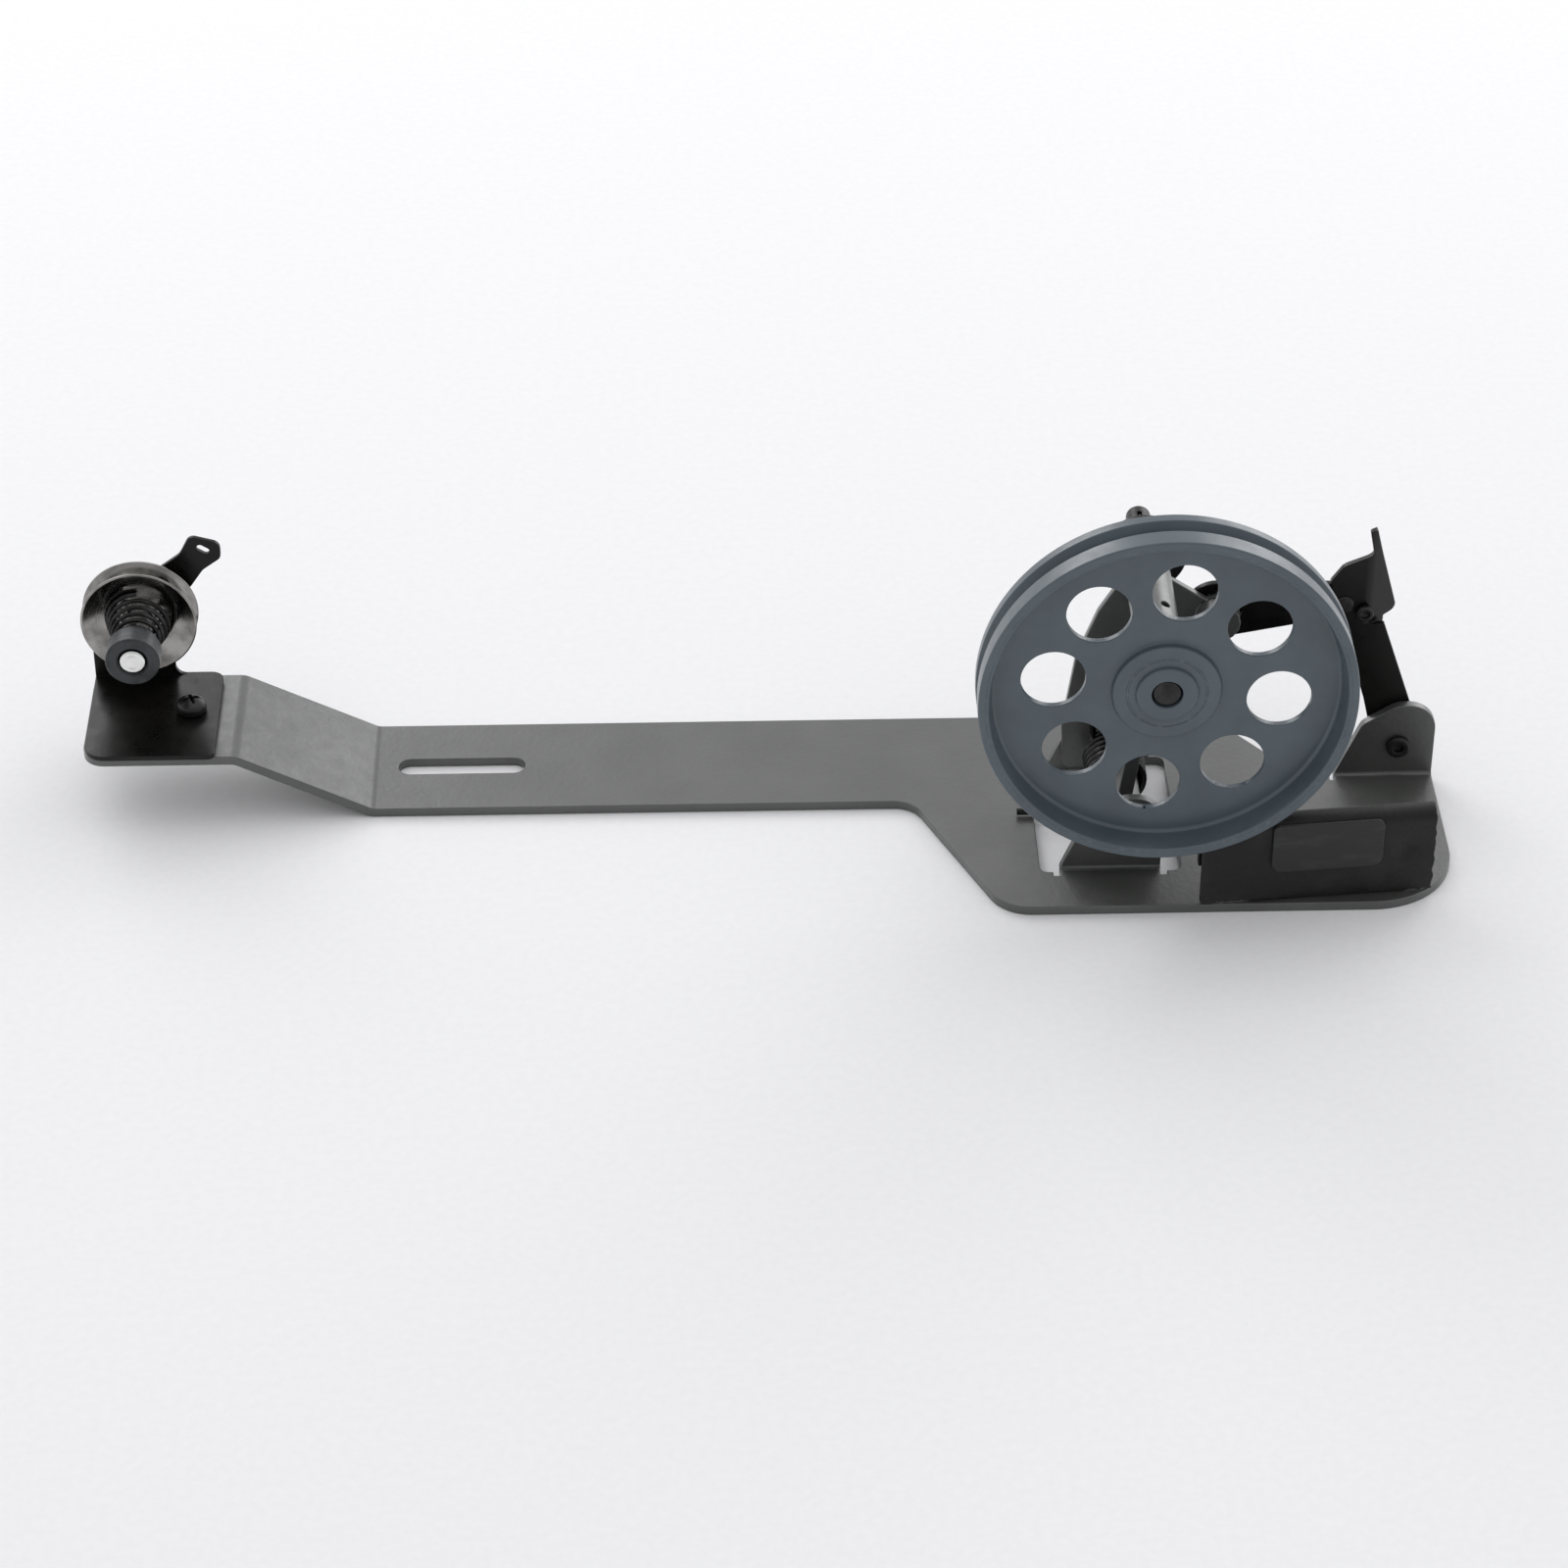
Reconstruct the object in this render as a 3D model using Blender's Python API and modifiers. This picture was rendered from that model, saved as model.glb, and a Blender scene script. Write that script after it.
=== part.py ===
"""Bobbin winder of an industrial sewing machine: base with a long arm, belt wheel on a
swinging frame, leather brake, trip lever and a thread tension unit on the arm's end.

Metres, +Z up. The origin is on the base plate's underside, straight below the wheel's
axis at the middle of the wheel's width. X runs along the arm, Y runs to the rear.
"""

import math

import bmesh
import bpy
from mathutils import Matrix, Vector

MM = 0.001
OBJECT_NAME = "bobbin_winder"

# Clearance between pieces that touch or fit into each other on the real object.
FIT = 0.3 * MM
# Extra reach of a cutter or of a piece sunk into the one it is joined to.
REACH = 2.0 * MM
# Rounded outlines turn by at most this angle, and stay this close to the true curve.
ARC_STEP = math.radians(18.0)
ARC_ERROR = 0.03 * MM
# A cutter's facets are turned by this share of a step, off those of what it cuts.
CUT_PHASE = 0.37
# Facets round the wheel, round other large pieces, and round pins, bores and screws.
WHEEL_STEPS = 48
LARGE_STEPS = 28
SMALL_STEPS = 16
COIL_STEPS = 12

# Base plate, one folded sheet.
SHEET = 2.3 * MM
BEND_RADIUS = 1.0 * MM
RELIEF_LAP = 0.1 * MM
PLATE_FRONT = -4.0 * MM
PLATE_LEFT = -34.5 * MM
PLATE_RIGHT = 69.6 * MM
PLATE_LEFT_RADIUS = 10.0 * MM
PLATE_RIGHT_RADIUS = 20.0 * MM
SHOULDER_LEFT = -53.4 * MM
SHOULDER_RIGHT = 18.8 * MM
SHOULDER_END = 38.1 * MM
SHOULDER_RADIUS = 7.0 * MM
ARM_END = -246.0 * MM
ARM_FRONT = 38.0 * MM
ARM_WIDTH = 34.0 * MM
ARM_END_RADIUS = 5.0 * MM
ARM_STEP_START = 66.0 * MM
ARM_STEP_LENGTH = 31.0 * MM
ARM_RISE = 15.5 * MM
ARM_BEND_RADIUS = 3.0 * MM
ARM_SLOT_FROM_END = 71.8 * MM
ARM_SLOT_LENGTH = 30.0 * MM
ARM_SLOT_WIDTH = 6.0 * MM

# Opening under the swinging frame, measured from the frame's hinge.
OPENING_LEFT = 19.1 * MM
OPENING_RIGHT = 13.3 * MM
OPENING_FRONT = 9.4 * MM
OPENING_LENGTH = 44.9 * MM
OPENING_RADIUS = 2.0 * MM

# Ears bent up from the plate; all three share one outline round their pin.
EAR_LEFT = 14.6 * MM
EAR_RIGHT = 8.5 * MM
EAR_HEIGHT = 21.6 * MM
PIN_HEIGHT = 10.6 * MM
PIN_RADIUS = 2.0 * MM
PIN_HEAD_RADIUS = 2.8 * MM
PIN_HEAD_HEIGHT = 1.3 * MM
PIN_TAIL = 1.8 * MM
CLIP_RADIUS = 4.0 * MM
CLIP_THICKNESS = 0.8 * MM
CLIP_GAP = 1.2 * MM
HINGE_X = -6.3 * MM
LEVER_X = PLATE_RIGHT - EAR_RIGHT
LEVER_EAR_Y = 46.0 * MM

# Wheel and spindle.
AXLE_HEIGHT = 58.9 * MM
WHEEL_RADIUS = 42.0 * MM
WHEEL_WIDTH = 11.8 * MM
GROOVE_DEPTH = 2.7 * MM
GROOVE_WIDTH = 4.2 * MM
GROOVE_FLOOR = 1.2 * MM
GROOVE_OFFSET = 1.1 * MM
RIM_WALL = 2.4 * MM
RIM_DRAFT = 1.0 * MM
WEB_THICKNESS = 1.8 * MM
WHEEL_HOLES = 8
WHEEL_HOLE_RADIUS = 7.2 * MM
WHEEL_HOLE_TURN = math.radians(6.76)
HUB_RADIUS = 12.0 * MM
HUB_HEIGHT = 1.4 * MM
BOSS_RADIUS = 6.85 * MM
BOSS_HEIGHT = 2.4 * MM
REAR_HUB_RADIUS = 8.0 * MM
REAR_HUB_END = 9.0 * MM
SPINDLE_SEAT_RADIUS = 3.15 * MM
SPINDLE_RADIUS = 2.9 * MM
SPINDLE_RECESS = 0.6 * MM
SPINDLE_TAIL = 18.0 * MM
SET_SCREW_RADIUS = 2.0 * MM
WASHER_RADIUS = 7.0 * MM
WASHER_THICKNESS = 0.7 * MM
SEAT_RADIUS = 10.0 * MM
SEAT_THICKNESS = 2.0 * MM
BLADE_THICKNESS = 0.5 * MM
BLADE_BULGE = 0.6 * MM

# Swinging frame behind the wheel.
TUBE_RADIUS = 5.25 * MM
TUBE_BORE_RADIUS = 3.5 * MM
BUSHING_RADIUS = 4.1 * MM
BUSHING_LENGTH = 9.0 * MM
SLEEVE_RADIUS = 5.0 * MM
CHEEK_THICKNESS = 2.0 * MM
CHEEK_BACK = 50.2 * MM
RIB_THICKNESS = 3.4 * MM
RIB_WIDTH = 10.0 * MM
LINK_PIVOT = (16.8 * MM, 46.1 * MM)
LINK_BOSS_RADIUS = 5.2 * MM
LINK_BOSS_LENGTH = 5.2 * MM
LINK_PIN_RADIUS = 1.35 * MM
LINK_PIN_HEAD_RADIUS = 3.0 * MM
OIL_HOLE_RADIUS = 1.0 * MM
OIL_HOLE_X = 2.0 * MM
OIL_HOLE_Y = 27.0 * MM
SPRING_WIRE = 1.6 * MM
SPRING_TURNS = 5
SPRING_PITCH = 2.0 * MM
SPRING_START = 33.0 * MM

# Link plate and trip lever.
LINK_THICKNESS = 1.6 * MM
LINK_LEFT_RADIUS = 7.5 * MM
LINK_RIGHT_RADIUS = 4.4 * MM
LEVER_PIVOT = (LEVER_X - 14.9 * MM, PIN_HEIGHT + 38.0 * MM)
LINK_SLACK = 0.5 * MM
LEVER_THICKNESS = 1.6 * MM
LEVER_FOOT_RADIUS = 6.4 * MM
LEVER_BEND_X = LEVER_X - 9.3 * MM
LEVER_BEND_ANGLE = math.radians(35.0)
LEVER_BEND_RADIUS = 2.0 * MM
TRIP_SCREW = (LEVER_X - 10.2 * MM, PIN_HEIGHT + 36.0 * MM)
TRIP_SCREW_RADIUS = 1.3 * MM
TRIP_SCREW_HEAD_RADIUS = 2.0 * MM
TRIP_SCREW_HEAD_HEIGHT = 1.3 * MM

# Brake: a tab of the plate that carries a folded leather and a rubbing pad.
BRAKE_LEFT = 10.0 * MM
BRAKE_RIGHT = PLATE_RIGHT - 6.0 * MM
BRAKE_TOP = 24.2 * MM
BRAKE_FRONT = -4.5 * MM
BRAKE_TURN = math.radians(5.0)
LEATHER = 1.7 * MM
LEATHER_BACK_DROP = 14.0 * MM
TAB_START = 12.5 * MM
TAB_END = BRAKE_RIGHT - BRAKE_LEFT - 5.6 * MM
PAD_START = 15.6 * MM
PAD_END = 41.2 * MM
PAD_DROP = 13.4 * MM
PAD_THICKNESS = 0.6 * MM
PAD_RADIUS = 2.5 * MM
WHEEL_CLEARANCE = 0.5 * MM

# Thread tension unit on the arm's end.
BRACKET_SHEET = 1.2 * MM
BRACKET_LENGTH = 30.3 * MM
BRACKET_DEPTH = 34.8 * MM
BRACKET_MARGIN = 0.4 * MM
BRACKET_UPRIGHT_WIDTH = 19.1 * MM
BRACKET_HEAD_RADIUS = 8.5 * MM
STUD_FROM_END = 13.0 * MM
STUD_HEIGHT = 22.4 * MM
STUD_RADIUS = 3.0 * MM
STUD_PROUD = 0.1 * MM
SHOULDER_DEPTH = 3.5 * MM
STUD_SHOULDER_RADIUS = 4.5 * MM
RIVET_HEIGHT = 1.2 * MM
DISC_RADIUS = 13.5 * MM
DISC_FLAT_RADIUS = 5.5 * MM
DISC_THICKNESS = 0.8 * MM
DISC_DISH = 2.3 * MM
COIL_WIRE = 1.0 * MM
COIL_LARGE_RADIUS = 7.35 * MM
COIL_SMALL_RADIUS = 4.5 * MM
COIL_TURNS = 5
COIL_LENGTH = 10.6 * MM
NUT_RADIUS = 6.3 * MM
NUT_LENGTH = 7.0 * MM
GUIDE_THICKNESS = 1.2 * MM
GUIDE_ROOT_RADIUS = 5.4 * MM
GUIDE_END = (15.4 * MM, 15.0 * MM)
GUIDE_EYE_LENGTH = 3.2 * MM
GUIDE_EYE_RADIUS = 0.8 * MM
GUIDE_EYE_TURN = math.radians(-32.0)
SCREW_FROM_END = 24.3 * MM
SCREW_RADIUS = 2.0 * MM
SCREW_HEAD_RADIUS = 3.45 * MM
SCREW_HEAD_HEIGHT = 3.4 * MM
SCREW_LENGTH = 8.0 * MM
CLAMP_NUT_RADIUS = 4.0 * MM
CLAMP_NUT_HEIGHT = 3.2 * MM
DIMPLE_SPACING = 11.9 * MM
DIMPLE_RADIUS = 1.4 * MM

# Places that follow from the sizes above.
ARM_BACK = ARM_FRONT + ARM_WIDTH
ARM_MIDDLE = ARM_FRONT + ARM_WIDTH / 2
ARM_TOP = ARM_RISE + SHEET
OPENING_BACK = OPENING_FRONT + OPENING_LENGTH
FRONT_EAR_Y = OPENING_FRONT + BEND_RADIUS
REAR_EAR_Y = OPENING_BACK - BEND_RADIUS - SHEET
WHEEL_FRONT = -WHEEL_WIDTH / 2
WHEEL_BACK = WHEEL_WIDTH / 2
SLEEVE_FRONT = FRONT_EAR_Y + SHEET + FIT
SLEEVE_BACK = REAR_EAR_Y - FIT
TUBE_FRONT = REAR_HUB_END + WASHER_THICKNESS + 2 * FIT
TUBE_BACK = CHEEK_BACK + 2.8 * MM
SEAT_FRONT = TUBE_BACK + 1.5 * MM
RIB_BACK = SPRING_START - 2 * SPRING_WIRE
SPINDLE_BACK = SEAT_FRONT + SPINDLE_TAIL
LEVER_FRONT = LEVER_EAR_Y + SHEET + FIT
LEVER_BACK = LEVER_FRONT + LEVER_THICKNESS
LINK_FRONT = max(LEVER_BACK, CHEEK_BACK) + FIT
LINK_BACK = LINK_FRONT + LINK_THICKNESS
STUD_X = ARM_END + STUD_FROM_END
STUD_Z = ARM_TOP + STUD_HEIGHT
BRACKET_BOTTOM = ARM_TOP + FIT
BRACKET_TOP = BRACKET_BOTTOM + BRACKET_SHEET
BRACKET_BACK = ARM_BACK - 0.7 * MM
UPRIGHT_FRONT = BRACKET_BACK - BRACKET_SHEET
GUIDE_BACK = UPRIGHT_FRONT - FIT
GUIDE_FRONT = GUIDE_BACK - GUIDE_THICKNESS
SHOULDER_BACK = GUIDE_FRONT - FIT
SHOULDER_FRONT = SHOULDER_BACK - SHOULDER_DEPTH
REAR_DISC_Y = SHOULDER_FRONT - FIT
FRONT_DISC_Y = REAR_DISC_Y - 2 * DISC_THICKNESS - FIT
COIL_BACK = FRONT_DISC_Y - FIT - COIL_WIRE / 2
COIL_FRONT = COIL_BACK - COIL_LENGTH + COIL_WIRE
NUT_BACK = COIL_FRONT - COIL_WIRE / 2 - FIT
NUT_FRONT = NUT_BACK - NUT_LENGTH
HOLE_CIRCLE_RADIUS = (HUB_RADIUS + WHEEL_RADIUS - RIM_WALL - RIM_DRAFT) / 2

# Colours as linear RGB, with roughness and metallic value.
FINISHES = {
    "grey_paint": ((0.17, 0.19, 0.21), 0.45, 0.2),
    "blue_grey_paint": ((0.30, 0.35, 0.39), 0.35, 0.3),
    "black_paint": ((0.02, 0.02, 0.02), 0.35, 0.0),
    "polished_steel": ((0.62, 0.62, 0.60), 0.18, 1.0),
    "dark_steel": ((0.10, 0.10, 0.11), 0.35, 0.9),
    "spring_steel": ((0.03, 0.03, 0.03), 0.3, 0.6),
    "bronze": ((0.45, 0.30, 0.14), 0.4, 1.0),
    "leather": ((0.03, 0.03, 0.032), 0.6, 0.0),
    "pad": ((0.07, 0.07, 0.075), 0.5, 0.0),
}


def clear_scene():
    """Remove every object, so that the script starts from an empty scene."""
    for item in list(bpy.data.objects):
        bpy.data.objects.remove(item, do_unlink=True)


def make_collection(name):
    """Return a new collection in the scene."""
    collection = bpy.data.collections.new(name)
    bpy.context.scene.collection.children.link(collection)
    return collection


clear_scene()
PARTS = make_collection(OBJECT_NAME)
CUTTERS = make_collection("cutters")


def finish_material(name, finish):
    """Return a Principled material for one piece."""
    colour, roughness, metallic = FINISHES[finish]
    material = bpy.data.materials.new(name + "_" + finish)
    material.use_nodes = True
    shader = material.node_tree.nodes["Principled BSDF"]
    shader.inputs["Base Color"].default_value = (*colour, 1.0)
    shader.inputs["Roughness"].default_value = roughness
    shader.inputs["Metallic"].default_value = metallic
    return material


def dress(piece, finish):
    """Give a piece its own material."""
    piece.data.materials.clear()
    piece.data.materials.append(finish_material(piece.name, finish))
    return piece


def as_cutter(piece):
    """Move a piece to the cutters, which show as wires and aren't built."""
    PARTS.objects.unlink(piece)
    CUTTERS.objects.link(piece)
    piece.hide_render = True
    piece.display_type = "WIRE"
    return piece


def boolean(target, tool, operation):
    """Add an exact Boolean of the tool to the target."""
    as_cutter(tool)
    modifier = target.modifiers.new(tool.name, "BOOLEAN")
    modifier.operation = operation
    modifier.solver = "EXACT"
    modifier.object = tool
    return target


def carrier(name, x, y, z):
    """Return an empty on a joint's axis, to which moving pieces are parented."""
    empty = bpy.data.objects.new(name, None)
    empty.location = (x, y, z)
    empty.empty_display_size = 5 * MM
    PARTS.objects.link(empty)
    return empty


def ride(piece, empty):
    """Parent a piece to a carrier and keep it where it is."""
    piece.parent = empty
    piece.matrix_parent_inverse = Matrix.Translation(-empty.location)
    return piece


def arc_step(radius):
    """Return the largest step that keeps an arc's chords close to the true curve."""
    return min(ARC_STEP, 2 * math.acos(1 - min(1.0, ARC_ERROR / radius)))


def arc(centre, radius, start, end):
    """Return points on an arc between two angles, in degrees, ends included."""
    sweep = math.radians(end - start)
    count = max(2, math.ceil(abs(sweep) / arc_step(radius)))
    turns = (math.radians(start) + sweep * i / count for i in range(count + 1))
    return [(centre[0] + radius * math.cos(t), centre[1] + radius * math.sin(t)) for t in turns]


def circle(centre, radius, count):
    """Return the points of a full circle."""
    turns = (2 * math.pi * i / count for i in range(count))
    return [(centre[0] + radius * math.cos(t), centre[1] + radius * math.sin(t)) for t in turns]


def rounded(corners):
    """Turn corners (u, v) or (u, v, radius) into points, each radius as a tangent arc."""
    points = []
    for i, corner in enumerate(corners):
        here = Vector(corner[:2])
        radius = corner[2] if len(corner) == 3 else 0.0
        if radius == 0.0:
            points.append(tuple(here))
            continue
        back = (Vector(corners[i - 1][:2]) - here).normalized()
        ahead = (Vector(corners[(i + 1) % len(corners)][:2]) - here).normalized()
        half = back.angle(ahead) / 2
        centre = here + (back + ahead).normalized() * radius / math.sin(half)
        first = here + back * radius / math.tan(half) - centre
        sweep = first.angle_signed(here + ahead * radius / math.tan(half) - centre)
        count = max(1, math.ceil(abs(sweep) / arc_step(radius)))
        for step in range(count + 1):
            points.append(tuple(centre + Matrix.Rotation(-sweep * step / count, 2) @ first))
    return points


def belt_outline(first, first_radius, second, second_radius):
    """Return the outline of a strap pulled round two circles."""
    along = Vector(second) - Vector(first)
    lean = math.degrees(math.atan2(along.y, along.x))
    spread = math.degrees(math.acos((first_radius - second_radius) / along.length))
    outline = arc(second, second_radius, lean - spread, lean + spread)
    return outline + arc(first, first_radius, lean + spread, lean + 360 - spread)


def flat(name, plane, low, high, outline, holes=()):
    """Return a flat piece: a filled outline in a plane, thick from low to high.

    The plane is XY, XZ or YZ. The outline becomes a mesh in world coordinates.
    """
    data = bpy.data.curves.new(name, "CURVE")
    data.dimensions = "2D"
    data.fill_mode = "BOTH"
    data.extrude = (high - low) / 2
    for points in (outline, *holes):
        spline = data.splines.new("POLY")
        spline.points.add(len(points) - 1)
        for target, (u, v) in zip(spline.points, points):
            target.co = (u, v, 0.0, 1.0)
        spline.use_cyclic_u = True
    guide = bpy.data.objects.new(name + "_outline", data)
    PARTS.objects.link(guide)
    bpy.context.view_layer.update()
    mesh = bpy.data.meshes.new_from_object(guide.evaluated_get(bpy.context.evaluated_depsgraph_get()))
    bpy.data.objects.remove(guide, do_unlink=True)
    place_flat_mesh(mesh, plane, low, high)
    piece = bpy.data.objects.new(name, mesh)
    PARTS.objects.link(piece)
    return piece


def place_flat_mesh(mesh, plane, low, high):
    """Weld a flat piece's mesh and turn it from its outline's plane into the world's."""
    shape = bmesh.new()
    shape.from_mesh(mesh)
    bmesh.ops.remove_doubles(shape, verts=shape.verts, dist=0.001 * MM)
    for vertex in shape.verts:
        u, v, side = vertex.co
        w = low if side < 0 else high
        vertex.co = {"XY": (u, v, w), "XZ": (u, w, v), "YZ": (w, u, v)}[plane]
    bmesh.ops.recalc_face_normals(shape, faces=shape.faces)
    if shape.calc_volume(signed=True) < 0:
        bmesh.ops.reverse_faces(shape, faces=shape.faces)
    shape.to_mesh(mesh)
    shape.free()
    mesh.shade_smooth()
    mesh.set_sharp_from_angle(angle=math.radians(30))


AXIS_TURNS = {"Y": (-math.pi / 2, 0.0, 0.0), "Z": (0.0, 0.0, 0.0)}


def turned(name, axis, place, profile, steps, ring=False, phase=0.0):
    """Return a turned piece: a profile (radius, height) swept round an axis.

    The profile runs down the outer side. A ring's profile is closed; another one
    starts and ends on the axis. Heights are measured along +Y or +Z from the place.
    The phase turns the facets by that share of a step.
    """
    turn = 2 * math.pi * phase / steps
    points = [(r * math.cos(turn), r * math.sin(turn), height) for r, height in profile]
    edges = [(i, i + 1) for i in range(len(profile) - 1)]
    if ring:
        edges.append((len(profile) - 1, 0))
    mesh = bpy.data.meshes.new(name)
    mesh.from_pydata(points, edges, [])
    piece = bpy.data.objects.new(name, mesh)
    piece.location = place
    piece.rotation_euler = AXIS_TURNS[axis]
    PARTS.objects.link(piece)
    screw = piece.modifiers.new("turn", "SCREW")
    screw.steps = steps
    screw.render_steps = steps
    screw.use_merge_vertices = True
    screw.merge_threshold = 0.01 * MM
    screw.use_smooth_shade = True
    return piece


def rod(name, axis, place, radius, low, high, steps=SMALL_STEPS):
    """Return a plain round bar along Y or Z."""
    return turned(name, axis, place, [(0, high), (radius, high), (radius, low), (0, low)], steps)


def bore(name, axis, place, radius, low, high, steps=SMALL_STEPS):
    """Return a cutter for a round hole, its facets off the pieces' own."""
    profile = [(0, high), (radius, high), (radius, low), (0, low)]
    return turned(name, axis, place, profile, steps, phase=CUT_PHASE)


def tube(name, axis, place, radii, low, high, steps=SMALL_STEPS):
    """Return a plain ring with an inner and an outer radius."""
    inner, outer = radii
    profile = [(outer, high), (outer, low), (inner, low), (inner, high)]
    return turned(name, axis, place, profile, steps, ring=True)


def wire(name, points, thickness):
    """Return a round wire through the points."""
    data = bpy.data.curves.new(name, "CURVE")
    data.dimensions = "3D"
    data.bevel_depth = thickness / 2
    data.bevel_resolution = 1
    data.use_fill_caps = True
    spline = data.splines.new("POLY")
    spline.points.add(len(points) - 1)
    for target, point in zip(spline.points, points):
        target.co = (*point, 1.0)
    piece = bpy.data.objects.new(name, data)
    PARTS.objects.link(piece)
    return piece


def coil(centre, radii, span, turns, start=0.0):
    """Return points of a coil along Y whose radius changes evenly from end to end."""
    count = round(turns * COIL_STEPS)
    points = []
    for i in range(count + 1):
        share = i / count
        radius = radii[0] + (radii[1] - radii[0]) * share
        turn = start + 2 * math.pi * turns * share
        y = span[0] + (span[1] - span[0]) * share
        points.append((centre[0] + radius * math.cos(turn), y, centre[1] + radius * math.sin(turn)))
    return points


def plate_outline():
    """Return the base plate's outline seen from above."""
    step = LEVER_EAR_Y - BEND_RADIUS
    notch = LEVER_X - EAR_LEFT
    return rounded(
        [
            (ARM_END, ARM_FRONT, ARM_END_RADIUS),
            (SHOULDER_LEFT, ARM_FRONT, SHOULDER_RADIUS),
            (PLATE_LEFT, PLATE_FRONT, PLATE_LEFT_RADIUS),
            (PLATE_RIGHT, PLATE_FRONT, PLATE_RIGHT_RADIUS),
            (PLATE_RIGHT, step),
            (notch + RELIEF_LAP, step),
            (notch + RELIEF_LAP, step - REACH / 2),
            (notch - REACH / 2, step - REACH / 2),
            (notch - REACH / 2, step + REACH),
            (SHOULDER_END, step + REACH, SHOULDER_RADIUS),
            (SHOULDER_RIGHT, ARM_BACK, SHOULDER_RADIUS),
            (ARM_END, ARM_BACK, ARM_END_RADIUS),
        ]
    )


def opening_outline():
    """Return the opening under the swinging frame, with relief cuts beside the ears."""
    left = HINGE_X - OPENING_LEFT
    right = HINGE_X + OPENING_RIGHT
    ear_left = HINGE_X - EAR_LEFT
    ear_right = HINGE_X + EAR_RIGHT
    cut = REACH * 0.75
    return rounded(
        [
            (left, OPENING_FRONT, OPENING_RADIUS),
            (ear_left - cut, OPENING_FRONT),
            (ear_left - cut, OPENING_FRONT - cut),
            (ear_left + RELIEF_LAP, OPENING_FRONT - cut),
            (ear_left + RELIEF_LAP, OPENING_FRONT),
            (ear_right - RELIEF_LAP, OPENING_FRONT),
            (ear_right - RELIEF_LAP, OPENING_FRONT - cut),
            (ear_right + cut, OPENING_FRONT - cut),
            (ear_right + cut, OPENING_FRONT),
            (right, OPENING_FRONT, OPENING_RADIUS),
            (right, OPENING_BACK, OPENING_RADIUS),
            (left, OPENING_BACK, OPENING_RADIUS),
        ]
    )


def slot_outline():
    """Return the mounting slot in the arm."""
    left = ARM_END + ARM_SLOT_FROM_END
    radius = ARM_SLOT_WIDTH / 2
    first = arc((left + radius, ARM_MIDDLE), radius, 90, 270)
    return first + arc((left + ARM_SLOT_LENGTH - radius, ARM_MIDDLE), radius, -90, 90)


def arm_side_outline():
    """Return the plate's side view: flat, a sloping step, and the raised end of the arm."""
    start = ARM_END + ARM_STEP_START
    end = start - ARM_STEP_LENGTH
    shift = SHEET * math.tan(math.atan2(ARM_RISE, ARM_STEP_LENGTH) / 2)
    outer = ARM_BEND_RADIUS + SHEET
    beyond = REACH * 2
    return rounded(
        [
            (PLATE_RIGHT + beyond, 0.0),
            (PLATE_RIGHT + beyond, SHEET),
            (start + shift, SHEET, ARM_BEND_RADIUS),
            (end + shift, ARM_TOP, outer),
            (ARM_END - beyond, ARM_TOP),
            (ARM_END - beyond, ARM_RISE),
            (end, ARM_RISE, ARM_BEND_RADIUS),
            (start, 0.0, outer),
        ]
    )


def make_ear(name, pin_x, inner_y, side):
    """Return an ear bent up from the plate, with its pin hole.

    The plate lies before the ear where side is 1, and behind it where side is -1.
    """
    near = inner_y if side == 1 else inner_y + SHEET
    outer = BEND_RADIUS + SHEET

    def across(distance):
        return near + side * distance

    bend_out = [(across(SHEET - outer + u), outer - v) for u, v in arc((0, 0), outer, 90, 0)]
    bend_in = [(across(-BEND_RADIUS + u), outer - v) for u, v in arc((0, 0), BEND_RADIUS, 0, 90)]
    foot = across(-BEND_RADIUS - REACH)
    top = EAR_HEIGHT + REACH
    fold = [(foot, 0.0), *bend_out, (across(SHEET), top), (across(0.0), top), *bend_in, (foot, SHEET)]
    left = pin_x - EAR_LEFT
    right = pin_x + EAR_RIGHT
    ear = flat(name, "YZ", left - REACH, right + REACH, fold)
    shape = rounded(
        [
            (right, -REACH),
            (right, EAR_HEIGHT, 6.5 * MM),
            (left + 13.7 * MM, EAR_HEIGHT, 6.0 * MM),
            (left + 5.8 * MM, EAR_HEIGHT - 5.2 * MM, 4.0 * MM),
            (left, SHEET),
            (left, -REACH),
        ]
    )
    window = flat(name + "_shape", "XZ", inner_y - 10 * MM, inner_y + 10 * MM, shape)
    boolean(ear, window, "INTERSECT")
    hole = bore(name + "_hole", "Y", (pin_x, inner_y, PIN_HEIGHT), PIN_RADIUS + FIT, -REACH, SHEET + REACH)
    return boolean(ear, hole, "DIFFERENCE")


def brake_block(name, start, end, low, high, front, back):
    """Return an upright block of the brake, placed along the brake's turned line."""
    outline = rounded([(start, low), (end, low), (end, high, 1.0 * MM), (start, high)])
    block = flat(name, "XZ", front, back, outline)
    block.location = (BRAKE_LEFT, BRAKE_FRONT, 0.0)
    block.rotation_euler = (0.0, 0.0, BRAKE_TURN)
    return block


def clear_wheel(piece, margin):
    """Cut a brake piece back to a margin round the wheel."""
    reach = 2 * WHEEL_WIDTH
    place = (0.0, 0.0, AXLE_HEIGHT)
    swept = bore(piece.name + "_wheel_room", "Y", place, WHEEL_RADIUS + margin, -reach, reach, 2 * WHEEL_STEPS)
    return boolean(piece, swept, "DIFFERENCE")


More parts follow.
